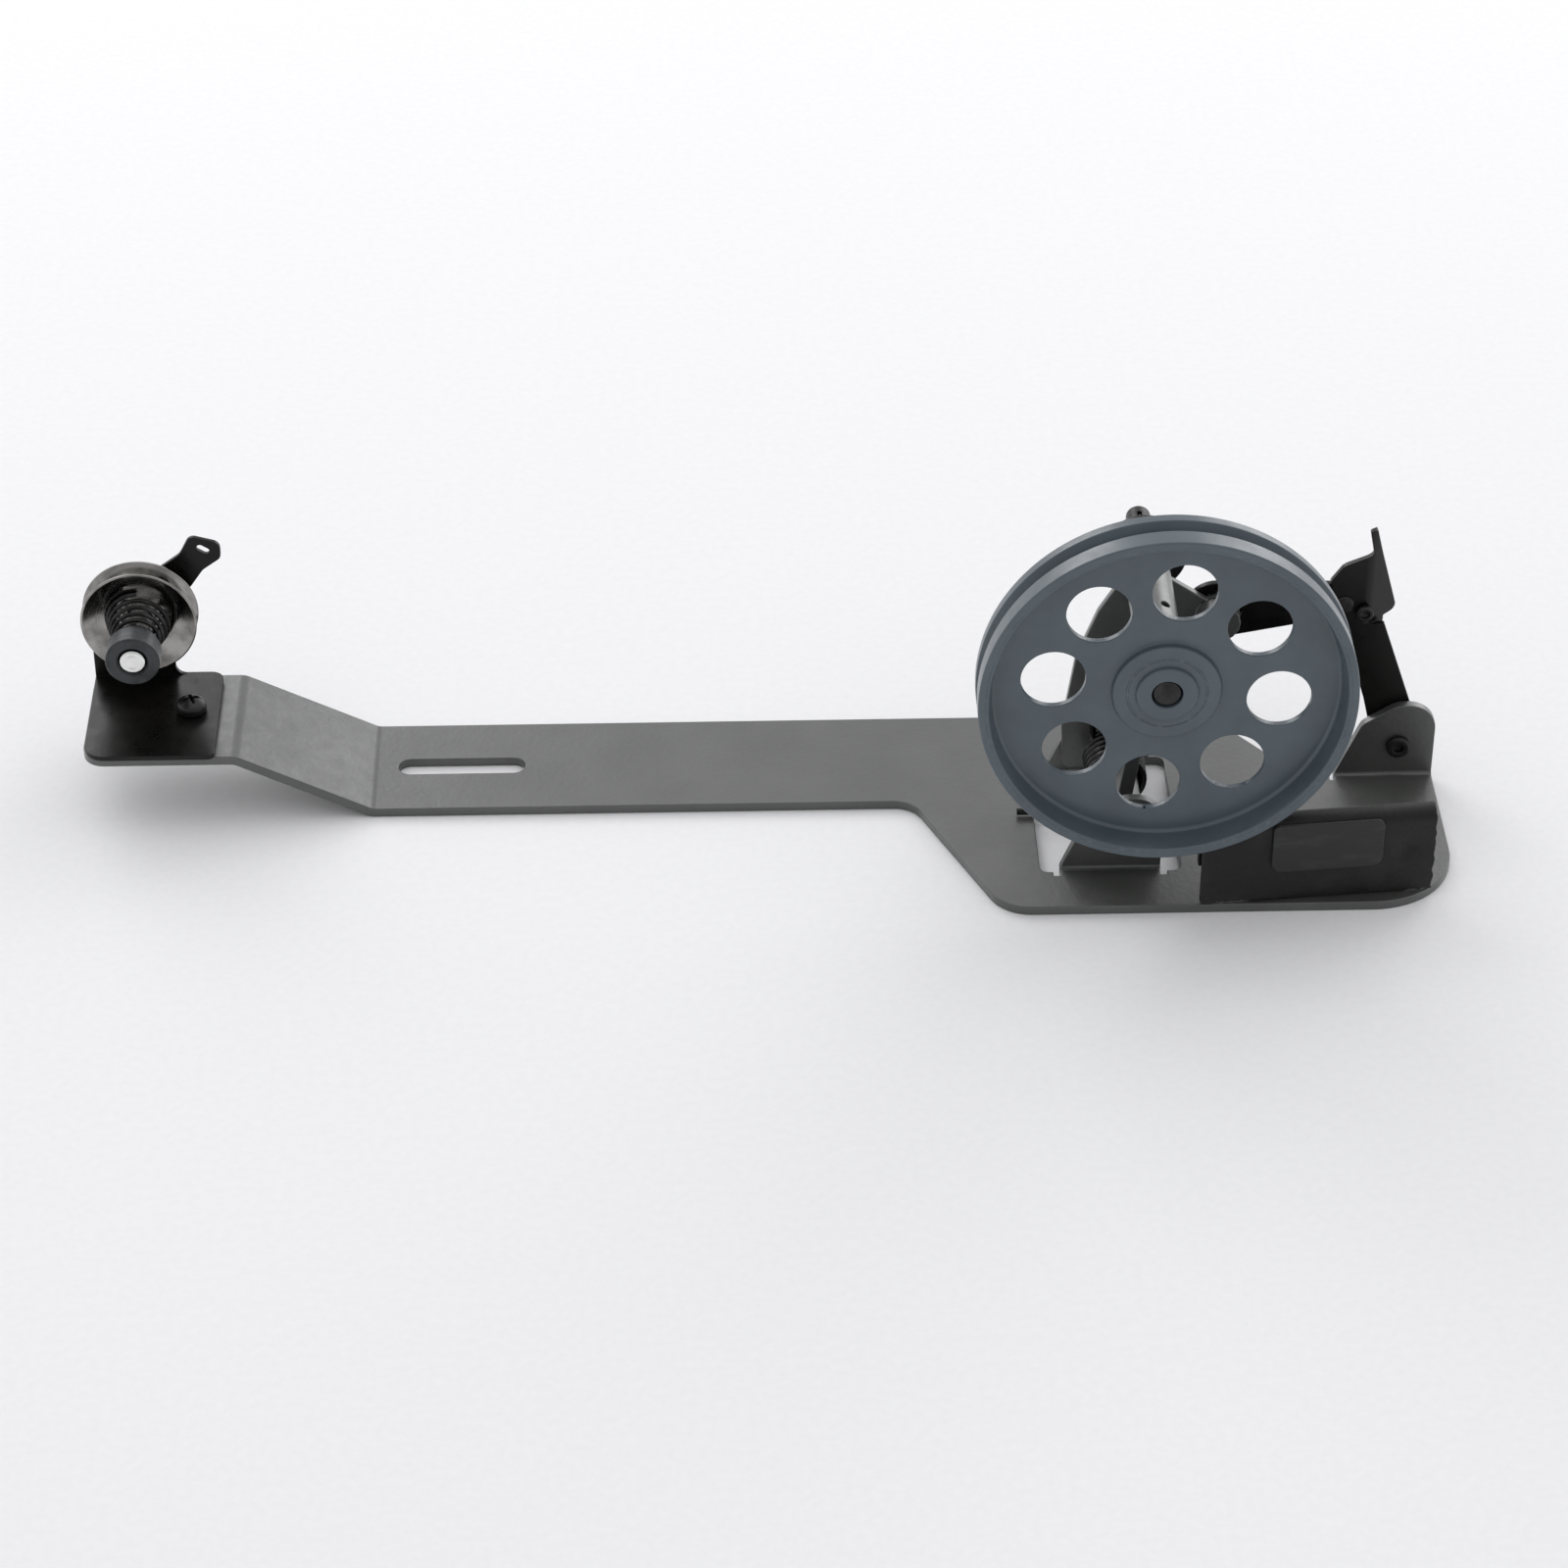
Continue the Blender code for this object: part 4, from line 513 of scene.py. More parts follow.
def smoothed(piece: bpy.types.Object) -> bpy.types.Object:
    """Shade a piece smooth across its rounded edges and flat on its flats."""
    piece.data.shade_smooth()
    piece.data.set_sharp_from_angle(angle=HARD_EDGE)
    weighted = piece.modifiers.new("flat_faces_lead", "WEIGHTED_NORMAL")
    weighted.keep_sharp = True
    weighted.weight = 100
    return settled(piece)


def bevelled(
    piece: bpy.types.Object, width: float, segments: int, angle: float, clamped: bool = False
) -> None:
    """Add rounded edges to a piece's modifiers.

    Args:
        piece: the piece.
        width: the rounding's width in millimetres.
        segments: the faces across each rounding.
        angle: edges sharper than this many degrees are rounded.
        clamped: whether roundings stop where they would meet.
    """
    bevel = piece.modifiers.new("rounded_edges", "BEVEL")
    bevel.width = width * MM
    bevel.segments = segments
    bevel.limit_method = "ANGLE"
    bevel.angle_limit = math.radians(angle)
    bevel.use_clamp_overlap = clamped


def cut_by(piece: bpy.types.Object, tool: bpy.types.Object, crossing: bool = False) -> None:
    """Add a cut in the shape of a tool, which may cross itself, to a piece's modifiers."""
    cut = piece.modifiers.new(tool.name, "BOOLEAN")
    cut.operation = "DIFFERENCE"
    cut.solver = "EXACT"
    cut.use_self = crossing
    cut.object = tool


def settled_without(piece: bpy.types.Object, tool: bpy.types.Object) -> bpy.types.Object:
    """Turn a piece's modifiers into plain mesh and throw away the tool that cut it."""
    piece = settled(piece)
    bpy.data.objects.remove(tool)
    return piece


def middle_of(node: str) -> Point:
    """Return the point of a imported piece's own axis at Y zero."""
    low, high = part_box(node)
    return ((low.x + high.x) / 2, 0.0, (low.z + high.z) / 2)


def half_width(node: str) -> float:
    """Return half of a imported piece's width along X."""
    low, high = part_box(node)
    return (high.x - low.x) / 2


def eased(corners: Sequence[Corner], closed: bool) -> list[tuple[float, float]]:
    """Turn corners (u, v) or (u, v, radius) into points, each radius as a tangent arc.

    Args:
        corners: the outline's corners in order, sizes in metres.
        closed: whether the last corner leads back to the first.

    Returns:
        The outline's points.
    """
    points = []
    last = len(corners) - 1
    for index, corner in enumerate(corners):
        here = Vector(corner[:2])
        radius = corner[2] if len(corner) == 3 else 0.0
        if radius == 0.0 or (not closed and index in (0, last)):
            points.append((here.x, here.y))
            continue
        back = (Vector(corners[index - 1][:2]) - here).normalized()
        ahead = (Vector(corners[(index + 1) % len(corners)][:2]) - here).normalized()
        half = back.angle(ahead) / 2
        centre = here + (back + ahead).normalized() * radius / math.sin(half)
        first = here + back * radius / math.tan(half) - centre
        sweep = first.angle_signed(here + ahead * radius / math.tan(half) - centre)
        count = max(CORNER_STEPS, math.ceil(abs(sweep) * CORNER_STEPS / CORNER_SWEEP))
        for step in range(count + 1):
            point = centre + Matrix.Rotation(-sweep * step / count, 2) @ first
            points.append((point.x, point.y))
    return points


def turned(
    name: str,
    axis: Axis,
    place: Point,
    corners: Sequence[Corner],
    steps: int = SMALL_STEPS,
    ring: bool = False,
) -> bpy.types.Object:
    """Sweep a profile round an axis.

    Args:
        name: the piece's name.
        axis: which way the axis points.
        place: a point on the axis, from which heights are measured.
        corners: the profile as (radius, height) or (radius, height, rounding).
        steps: the steps round the axis.
        ring: whether the profile is a closed loop; another one starts and ends on the axis.

    Returns:
        The turned piece.
    """
    points = eased(corners, ring)
    shape = bmesh.new()
    verts = [shape.verts.new((radius, 0.0, height)) for radius, height in points]
    pairs = list(zip(verts, verts[1:]))
    if ring:
        pairs.append((verts[-1], verts[0]))
    edges = [shape.edges.new(pair) for pair in pairs]
    full = {"angle": 2 * math.pi, "steps": steps, "use_merge": True}
    bmesh.ops.spin(shape, geom=verts + edges, cent=(0, 0, 0), axis=(0, 0, 1), **full)
    tidy(shape)
    shape.transform(Matrix.Translation(place) @ axis.value)
    return new_object(name, mesh_of(name, shape))


def turned_piece(node: str, corners: Sequence[Corner], **settings: Any) -> bpy.types.Object:
    """Return the finished piece for a packed one, turned round its own axis."""
    return smoothed(turned(node + "_finished", Axis.BACK, middle_of(node), corners, **settings))


def domed_head(node: str, lip: float) -> list[Corner]:
    """Return the profile of a rivet's domed rear head, down to its shank.

    Args:
        node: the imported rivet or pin.
        lip: how far the dome falls to the head's lip, in millimetres.

    Returns:
        The profile's first corners.
    """
    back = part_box(node)[1].y
    head = half_width(node)
    return [
        (0.0, back),
        (head * 0.6, back, 0.8 * MM),
        (head, back - lip * MM, 0.25 * MM),
        (head, back - RIVET_HEAD),
        (RIVET_SHANK, back - RIVET_HEAD),
    ]


def refined(node: str, edge: float) -> bpy.types.Object:
    """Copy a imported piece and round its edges.

    Args:
        node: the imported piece.
        edge: the rounding's width in millimetres.

    Returns:
        The piece with broken edges, shaded smooth.
    """
    shape = bmesh.new()
    shape.from_mesh(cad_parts[node].data)
    bmesh.ops.remove_doubles(shape, verts=shape.verts, dist=PACKED_PLACE)
    parts = {"verts": shape.verts, "edges": shape.edges}
    bmesh.ops.dissolve_limit(shape, angle_limit=math.radians(0.6), use_dissolve_boundaries=False, **parts)
    piece = new_object(node + "_finished", mesh_of(node + "_finished", shape))
    bevelled(piece, edge, 2, 32)
    return smoothed(settled(piece))


def finish_piece(
    piece: bpy.types.Object, finish: Finish, body: Body, *nodes: str, blended: bool = False
) -> bpy.types.Object:
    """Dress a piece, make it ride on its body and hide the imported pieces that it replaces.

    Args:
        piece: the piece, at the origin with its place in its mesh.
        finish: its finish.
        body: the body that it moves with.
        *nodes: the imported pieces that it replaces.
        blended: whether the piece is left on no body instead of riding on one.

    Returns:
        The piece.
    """
    piece.data.materials.clear()
    piece.data.materials.append(finish.material())
    if not blended:
        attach(piece, body.value)
    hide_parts(*nodes)
    faces = len(piece.data.polygons)
    LOG.info("%s: %d faces, %s, moves with %s", piece.name, faces, finish.name, body.value)
    return piece


# ------------------------------------------------------------------ node trees


def new_tree(name: str, sizes: dict[str, tuple[str, float]]) -> bpy.types.NodeTree:
    """Start a Geometry Nodes tree with a geometry input and named sizes.

    Args:
        name: the tree's name.
        sizes: for each input, its socket type and default value.

    Returns:
        The tree, with its group input and output nodes.
    """
    tree = bpy.data.node_groups.new(name, "GeometryNodeTree")
    tree.interface.new_socket("Geometry", in_out="INPUT", socket_type="NodeSocketGeometry")
    for label, (kind, value) in sizes.items():
        socket = tree.interface.new_socket(label, in_out="INPUT", socket_type=kind)
        socket.default_value = value
    tree.interface.new_socket("Geometry", in_out="OUTPUT", socket_type="NodeSocketGeometry")
    return tree


def close_tree(tree: bpy.types.NodeTree, geometry: Any, finish: Finish) -> None:
    """End a tree in Realize Instances and Set Material."""
    solid = add_node(tree, "GeometryNodeRealizeInstances", {"Geometry": geometry})
    values = {"Geometry": solid.outputs[0], "Material": finish.material()}
    dressed = add_node(tree, "GeometryNodeSetMaterial", values)
    add_node(tree, "NodeGroupOutput", {"Geometry": dressed.outputs[0]})


def run_tree(
    piece: bpy.types.Object, tree: bpy.types.NodeTree, sizes: dict[str, float]
) -> bpy.types.Object:
    """Run a tree on a piece with these sizes and keep the result as plain mesh."""
    modifier = piece.modifiers.new(tree.name, "NODES")
    modifier.node_group = tree
    inputs = [item for item in tree.interface.items_tree if item.in_out == "INPUT"]
    sockets = {item.name: item.identifier for item in inputs}
    for label, value in sizes.items():
        modifier[sockets[label]] = value
    return settled(piece)


def hole_ring_tree(finish: Finish) -> bpy.types.NodeTree:
    """Build the tree that cuts a ring of round holes through a wheel's web."""
    decimal = "NodeSocketFloat"
    tree = new_tree(
        "ring_of_holes",
        {
            "Count": ("NodeSocketInt", 8),
            "Hole Radius": (decimal, 0.007),
            "Ring Radius": (decimal, 0.025),
            "First Angle": (decimal, 0.0),
            "Axle Height": (decimal, 0.05),
        },
    )
    given = add_node(tree, "NodeGroupInput").outputs
    values = {"Vertices": given["Count"], "Radius": given["Ring Radius"]}
    ring = add_node(tree, "GeometryNodeMeshCircle", values)
    values = {"Vertices": SMALL_STEPS, "Radius": given["Hole Radius"], "Depth": 6 * MM}
    drill = add_node(tree, "GeometryNodeMeshCylinder", values)
    values = {"Points": ring.outputs[0], "Instance": drill.outputs[0]}
    drills = add_node(tree, "GeometryNodeInstanceOnPoints", values)
    turn = add_node(tree, "ShaderNodeCombineXYZ", {"Z": given["First Angle"]})
    values = {"Geometry": drills.outputs[0], "Rotation": turn.outputs[0]}
    turned_ring = add_node(tree, "GeometryNodeTransform", values)
    height = add_node(tree, "ShaderNodeCombineXYZ", {"Z": given["Axle Height"]})
    values = {
        "Geometry": turned_ring.outputs[0],
        "Rotation": (math.radians(90), 0.0, 0.0),
        "Translation": height.outputs[0],
    }
    upright = add_node(tree, "GeometryNodeTransform", values)
    solid = add_node(tree, "GeometryNodeRealizeInstances", {"Geometry": upright.outputs[0]})
    values = {0: given["Geometry"], 1: solid.outputs[0]}
    cut = add_node(tree, "GeometryNodeMeshBoolean", values, operation="DIFFERENCE", solver="EXACT")
    close_tree(tree, cut.outputs[0], finish)
    return tree


def wire_tree(finish: Finish) -> bpy.types.NodeTree:
    """Build the tree that runs a round wire along a path and rounds its bends."""
    decimal = "NodeSocketFloat"
    tree = new_tree(
        "bent_wire",
        {"Wire Radius": (decimal, 0.0005), "Bend Radius": (decimal, 0.001), "Sides": ("NodeSocketInt", 16)},
    )
    given = add_node(tree, "NodeGroupInput").outputs
    values = {"Curve": given["Geometry"], "Radius": given["Bend Radius"], "Count": 5, "Limit Radius": True}
    bent = add_node(tree, "GeometryNodeFilletCurve", values, mode="POLY")
    values = {"Resolution": given["Sides"], "Radius": given["Wire Radius"]}
    section = add_node(tree, "GeometryNodeCurvePrimitiveCircle", values)
    values = {"Curve": bent.outputs[0], "Profile Curve": section.outputs[0], "Fill Caps": True}
    wire = add_node(tree, "GeometryNodeCurveToMesh", values)
    close_tree(tree, wire.outputs[0], finish)
    return tree


def path_object(name: str, points: Iterable[Point]) -> bpy.types.Object:
    """Return a curve object through the points."""
    data = bpy.data.curves.new(name, "CURVE")
    data.dimensions = "3D"
    spline = data.splines.new("POLY")
    places = list(points)
    spline.points.add(len(places) - 1)
    for target, place in zip(spline.points, places):
        target.co = (*place, 1.0)
    return new_object(name, data)


def coil(
    centre: tuple[float, float],
    radii: tuple[float, float],
    span: tuple[float, float],
    turns: float,
    start: float,
    steps: int = 48,
) -> list[Point]:
    """Return the points of a coil along Y whose radius changes evenly.

    Args:
        centre: its axis, as X and Z.
        radii: the radius at each end.
        span: Y at each end.
        turns: how many turns.
        start: the first point's angle.
        steps: points in each turn.

    Returns:
        The points in order.
    """
    points = []
    count = round(turns * steps)
    for index in range(count + 1):
        share = index / count
        radius = radii[0] + (radii[1] - radii[0]) * share
        turn = start + 2 * math.pi * turns * share
        y = span[0] + (span[1] - span[0]) * share
        points.append((centre[0] + radius * math.cos(turn), y, centre[1] + radius * math.sin(turn)))
    return points


# ------------------------------------------------------------------ sub-assemblies


@dataclass
class HeadedPins:
    """Headed pivot pins and their spring clips, sizes in millimetres."""

    radius: float = 2.0
    head_height: float = 1.6
    groove_radius: float = 1.6
    tip_round: float = 0.45
    groove_play: float = 0.15
    socket_radius: float = 1.25
    socket_depth: float = 1.0

    def pin(self, node: str, clip: str) -> bpy.types.Object:
        """Return one pin, with its rounded head in front and its clip groove behind."""
        low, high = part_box(node)
        clip_low, clip_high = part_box(clip)
        front = low.y
        head = half_width(node)
        socket = self.socket_radius * MM
        shank = self.radius * MM
        groove = self.groove_radius * MM
        under = front + self.head_height * MM
        corners = [
            (0.0, high.y),
            (shank, high.y, self.tip_round * MM),
            (shank, clip_high.y + self.groove_play * MM),
            (groove, clip_high.y + self.groove_play * MM),
            (groove, clip_low.y - self.groove_play * MM),
            (shank, clip_low.y - self.groove_play * MM),
            (shank, under),
            (head, under, 0.2 * MM),
            (head, front + 0.3 * MM, 0.3 * MM),
            (head * 0.8, front, 0.3 * MM),
            (socket, front, 0.12 * MM),
            (socket * 0.95, front + self.socket_depth * MM),
            (0.0, front + self.socket_depth * MM * 1.2),
        ]
        return turned_piece(node, corners)

    def build(self) -> None:
        """Make both pins and both clips."""
        for node, clip in (("frame_hinge_pin", "hinge_pin_clip"), ("lever_pin", "lever_pin_clip")):
            finish_piece(self.pin(node, clip), OILED_STEEL, Body.BASE, node)
            finish_piece(refined(clip, 0.06), SPRING_WIRE, Body.BASE, clip)


@dataclass
class BasePlate:
    """The folded base plate with its arm and ears."""

    edge: float = 0.22

    def build(self) -> None:
        """Make the plate with edges softened by paint."""
        finish_piece(refined("base_plate", self.edge), PLATE_PAINT, Body.BASE, "base_plate")


@dataclass
class Brake:
    """The leather folded over the plate's tab, and the pad on it, sizes in millimetres."""

    left: float = 10.0
    front: float = -4.5
    turn: float = 5.0
    length: float = 53.6
    low: float = 2.6
    top: float = 24.2
    depth: float = 6.3
    leather: float = 1.7
    fold: float = 2.8
    back_drop: float = 14.0
    wheel_room: float = 42.5
    columns: int = 240
    pad_left: float = 15.6
    pad_right: float = 41.2
    pad_low: float = 10.8
    pad_high: float = 23.7
    pad_round: float = 2.5
    pad_edge: float = 0.4
    pad_rise: float = 0.75
    pad_sunk: float = 0.12
    dimple: tuple[float, float] = (47.0, 13.2)

    def place(self) -> Matrix:
        """Return the brake's own frame."""
        start = Matrix.Translation((self.left * MM, self.front * MM, 0.0))
        return start @ Matrix.Rotation(math.radians(self.turn), 4, "Z")

    def section(self, inset: float) -> list[tuple[float, float]]:
        """Return the fold's section this far inside its outer face, from the front's foot."""
        low = self.low
        high = self.top - inset
        back = self.depth - inset
        rounding = self.fold - inset
        end = self.top - self.back_drop
        points = [(inset, low + (high - rounding - low) * step / 30) for step in range(30)]
        for step in range(9):
            turn = math.pi * (1 - step / 16)
            across = inset + rounding + rounding * math.cos(turn)
            points.append((across, high - rounding + rounding * math.sin(turn)))
        for step in range(8, 17):
            turn = math.pi * (1 - step / 16)
            across = back - rounding + rounding * math.cos(turn)
            points.append((across, high - rounding + rounding * math.sin(turn)))
        fall = high - rounding - end
        points += [(back, high - rounding - fall * step / 14) for step in range(1, 15)]
        return points

    def hand_cut(self, along: float, height: float, across: float, outer: bool) -> Point:
        """Return a point of the leather with its ragged foot, waves, crease and dimple.

        Args:
            along: distance along the brake in millimetres.
            height: height over the ground in millimetres.
            across: depth behind the front face in millimetres.
            outer: whether the point is on the leather's outer face.

        Returns:
            The point in the brake's frame, in millimetres.
        """
        near_foot = max(0.0, 1.0 - (height - self.low) / 2.5) if across < self.depth / 2 else 0.0
        ragged = noise.noise((along * 0.9, 3.1, 0.0)) * 0.25 + noise.noise((along * 3.1, 7.7, 0.0)) * 0.16
        height += near_foot * (0.2 + ragged)
        if outer and across < self.depth / 2:
            wave = noise.noise((along * 0.16, height * 0.22, 1.7)) * 0.16
            fibre = noise.noise((along * 1.4, height * 1.4, 5.0)) * 0.05
            off = math.hypot(along - self.dimple[0], (height - self.dimple[1]) * 1.1)
            dent = 0.75 * math.exp(-((off / 2.4) ** 2)) + 0.35 * math.exp(-((off / 5.0) ** 2))
            across += 0.18 + wave + fibre + dent
        end_wear = max(0.0, 1.0 - (self.length - along) / 1.2)
        along += end_wear * noise.noise((height * 0.7, 2.0, across)) * 0.4 - end_wear * 0.25
        return (along, across, height)

    def fold_strip(self) -> bpy.types.Object:
        """Return the folded leather, hollowed for the wheel."""
        outer = self.section(0.0)
        inner = self.section(self.leather)
        ring = [(point, True) for point in outer] + [(point, False) for point in reversed(inner)]
        shape = bmesh.new()
        loops = []
        for column in range(self.columns + 1):
            along = self.length * column / self.columns
            loop = []
            for (across, height), is_outer in ring:
                spot = self.hand_cut(along, height, across, is_outer)
                loop.append(shape.verts.new([value * MM for value in spot]))
            loops.append(loop)
        for first, second in zip(loops, loops[1:]):
            for index in range(len(ring)):
                following = (index + 1) % len(ring)
                shape.faces.new((first[index], first[following], second[following], second[index]))
        count = len(outer)
        for loop in (loops[0], loops[-1]):
            for index in range(count - 1):
                mirror = 2 * count - 1 - index
                shape.faces.new((loop[index], loop[index + 1], loop[mirror - 1], loop[mirror]))
        tidy(shape)
        shape.transform(self.place())
        strip = new_object("brake_leather_finished", mesh_of("brake_leather_finished", shape))
        low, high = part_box("wheel")
        axle = (0.0, 0.0, (low.z + high.z) / 2)
        reach = 20 * MM
        radius = self.wheel_room * MM
        profile = [(0.0, reach), (radius, reach), (radius, -reach), (0.0, -reach)]
        room = turned("wheel_room", Axis.BACK, axle, profile, 2 * LARGE_STEPS)
        cut_by(strip, room)
        return settled_without(strip, room)

    def pad(self) -> bpy.types.Object:
        """Return the raised pad with its rolled edge."""
        corners = [
            (self.pad_left, self.pad_low, self.pad_round),
            (self.pad_right, self.pad_low, self.pad_round),
            (self.pad_right, self.pad_high, self.pad_round * 0.8),
            (self.pad_left, self.pad_high, self.pad_round * 0.5),
        ]
        outline = eased(corners, True)
        shape = bmesh.new()
        lower = [shape.verts.new((x * MM, -self.pad_sunk * MM, z * MM)) for x, z in outline]
        foot = shape.faces.new(lower)
        raised = bmesh.ops.extrude_face_region(shape, geom=[foot])["geom"]
        verts = [item for item in raised if isinstance(item, bmesh.types.BMVert)]
        bmesh.ops.translate(shape, verts=verts, vec=(0.0, -self.pad_rise * MM, 0.0))
        tidy(shape)
        shape.transform(self.place())
        piece = new_object("brake_pad_finished", mesh_of("brake_pad_finished", shape))
        bevelled(piece, self.pad_edge, 4, 40, clamped=True)
        return smoothed(settled(piece))

    def build(self) -> None:
        """Make the leather and the pad."""
        leather = self.fold_strip()
        leather.data.shade_smooth()
        leather.data.set_sharp_from_angle(angle=HARD_EDGE)
        finish_piece(leather, BRAKE_LEATHER, Body.BASE, "brake_leather")
        finish_piece(self.pad(), PAD_RUBBER, Body.BASE, "brake_pad")


@dataclass
class BeltWheel:
    """The cast belt wheel with its spindle, sizes in millimetres."""

    radius: float = 42.0
    front: float = -5.9
    back: float = 5.9
    groove_middle: float = 1.1
    groove_width: float = 4.2
    groove_floor: float = 1.2
    groove_depth: float = 2.7
    rim_wall: float = 2.4
    draft: float = 1.0
    web: float = 1.8
    holes: int = 8
    hole_radius: float = 7.2
    first_hole: float = 6.76
    hub_radius: float = 12.0
    hub_height: float = 1.4
    boss_radius: float = 6.85
    boss_height: float = 2.4
    bore: float = 3.45
    rear_hub: float = 8.0
    rear_hub_end: float = 9.0
    seat: float = 3.15
    journal: float = 2.9
    hole_edge: float = 0.3
    screw_play: float = 0.25
    drill_reach: float = 11.0
    blade_play: float = 0.28
    slot_reach: float = 12.0
    slot_lead: float = 0.4

    def axle(self) -> Point:
        """Return the point of the axle in the wheel's middle plane."""
        low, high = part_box("wheel")
        return (0.0, 0.0, (low.z + high.z) / 2)

    def profile(self) -> list[Corner]:
        """Return the wheel's section with cast and turned roundings."""
        rim = self.radius - self.rim_wall
        root = rim - self.draft
        middle = self.groove_middle
        half = self.groove_width / 2
        floor = self.groove_floor / 2
        deep = self.radius - self.groove_depth
        sizes = [
            (self.radius, self.back, 0.5),
            (self.radius, middle + half, 0.35),
            (deep, middle + floor, 0.25),
            (deep, middle - floor, 0.25),
            (self.radius, middle - half, 0.35),
            (self.radius, self.front, 0.45),
            (rim + 0.9, self.front, 0.15),
            (rim + 0.75, self.front + 0.18, 0.1),
            (rim, self.front + 0.18, 0.35),
            (root + 0.1, 0.0, 0.9),
            (self.hub_radius + 0.3, 0.0, 0.5),
            (self.hub_radius, -self.hub_height, 0.4),
            (self.boss_radius + 2.3, -self.hub_height, 0.12),
            (self.boss_radius + 2.15, -self.hub_height + 0.2, 0.08),
            (self.boss_radius + 1.75, -self.hub_height + 0.2, 0.08),
            (self.boss_radius + 1.6, -self.hub_height, 0.12),
            (self.boss_radius + 0.25, -self.hub_height, 0.3),
            (self.boss_radius, -self.boss_height, 0.45),
            (self.bore, -self.boss_height, 0.35),
            (self.bore, self.rear_hub_end, 0.3),
            (self.rear_hub, self.rear_hub_end, 0.5),
            (self.rear_hub + 0.2, self.web, 0.7),
            (root, self.web, 0.9),
            (rim, self.back, 0.35),
        ]
        return [tuple(value * MM for value in corner) for corner in sizes]

    def casting(self) -> bpy.types.Object:
        """Return the wheel with its ring of holes and the set screw's hole."""
        wheel = turned("wheel_finished", Axis.BACK, self.axle(), self.profile(), LARGE_STEPS, ring=True)
        ring_radius = (self.hub_radius + self.radius - self.rim_wall - self.draft) / 2
        sizes = {
            "Count": self.holes,
            "Hole Radius": self.hole_radius * MM,
            "Ring Radius": ring_radius * MM,
            "First Angle": math.radians(-self.first_hole),
            "Axle Height": self.axle()[2],
        }
        wheel = run_tree(wheel, hole_ring_tree(WHEEL_PAINT), sizes)
        low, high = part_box("wheel_set_screw")
        x, y, top = (low.x + high.x) / 2, (low.y + high.y) / 2, self.axle()[2]
        radius = (high.x - low.x) / 2 + self.screw_play * MM
        reach = self.drill_reach * MM
        profile = [(0.0, reach), (radius, reach), (radius, 0.0), (0.0, 0.0)]
        drill = turned("set_screw_drill", Axis.UP, (x, y, top), profile)
        cut_by(wheel, drill)
        bevelled(wheel, self.hole_edge, 3, 60)
        return smoothed(settled_without(wheel, drill))

    def spindle(self) -> bpy.types.Object:
        """Return the spindle with its domed, slotted bobbin stub."""
        low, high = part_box("spindle")
        blade_low, blade_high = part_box("bobbin_spring")
        seat = self.seat * MM
        journal = self.journal * MM
        corners = [
            (0.0, high.y),
            (journal, high.y, 1.3 * MM),
            (journal, self.rear_hub_end * MM),
            (seat, self.rear_hub_end * MM),
            (seat, low.y, 0.3 * MM),
            (0.0, low.y),
        ]
        spindle = turned("spindle_finished", Axis.BACK, self.axle(), corners)
        half = (blade_high.x - blade_low.x) / 2 + self.blade_play * MM
        shape = bmesh.new()
        bmesh.ops.create_cube(shape, size=1.0)
        reach = self.slot_reach * MM
        lead = self.slot_lead * MM
        centre = (0.0, blade_low.y - lead + reach / 2, self.axle()[2] + reach / 2)
        size = Matrix.Diagonal((2 * half, reach + lead, reach, 1.0))
        shape.transform(Matrix.Translation(centre) @ size)
        slot = new_object("blade_slot", mesh_of("blade_slot", shape))
        cut_by(spindle, slot)
        return smoothed(settled_without(spindle, slot))

    def seat_flange(self) -> bpy.types.Object:
        """Return the flange that a bobbin stands against."""
        low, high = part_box("bobbin_seat")
        radius = (high.x - low.x) / 2
        inner = self.journal * MM + 0.3 * MM
        corners = [
            (radius, high.y, 0.35 * MM),
            (radius, low.y, 0.5 * MM),
            (inner + 2.4 * MM, low.y, 0.2 * MM),
            (inner + 2.2 * MM, low.y + 0.3 * MM, 0.2 * MM),
            (inner, low.y + 0.3 * MM, 0.1 * MM),
            (inner, high.y, 0.2 * MM),
        ]
        return smoothed(turned("bobbin_seat_finished", Axis.BACK, self.axle(), corners, ring=True))

    def build(self) -> None:
        """Make the wheel and everything that spins with it."""
        finish_piece(self.casting(), WHEEL_PAINT, Body.WHEEL, "wheel")
        finish_piece(self.spindle(), OILED_STEEL, Body.WHEEL, "spindle")
        finish_piece(self.seat_flange(), OILED_STEEL, Body.WHEEL, "bobbin_seat")
        finish_piece(refined("bobbin_spring", 0.1), SPRING_WIRE, Body.WHEEL, "bobbin_spring")
        finish_piece(refined("wheel_set_screw", 0.1), OILED_STEEL, Body.WHEEL, "wheel_set_screw")


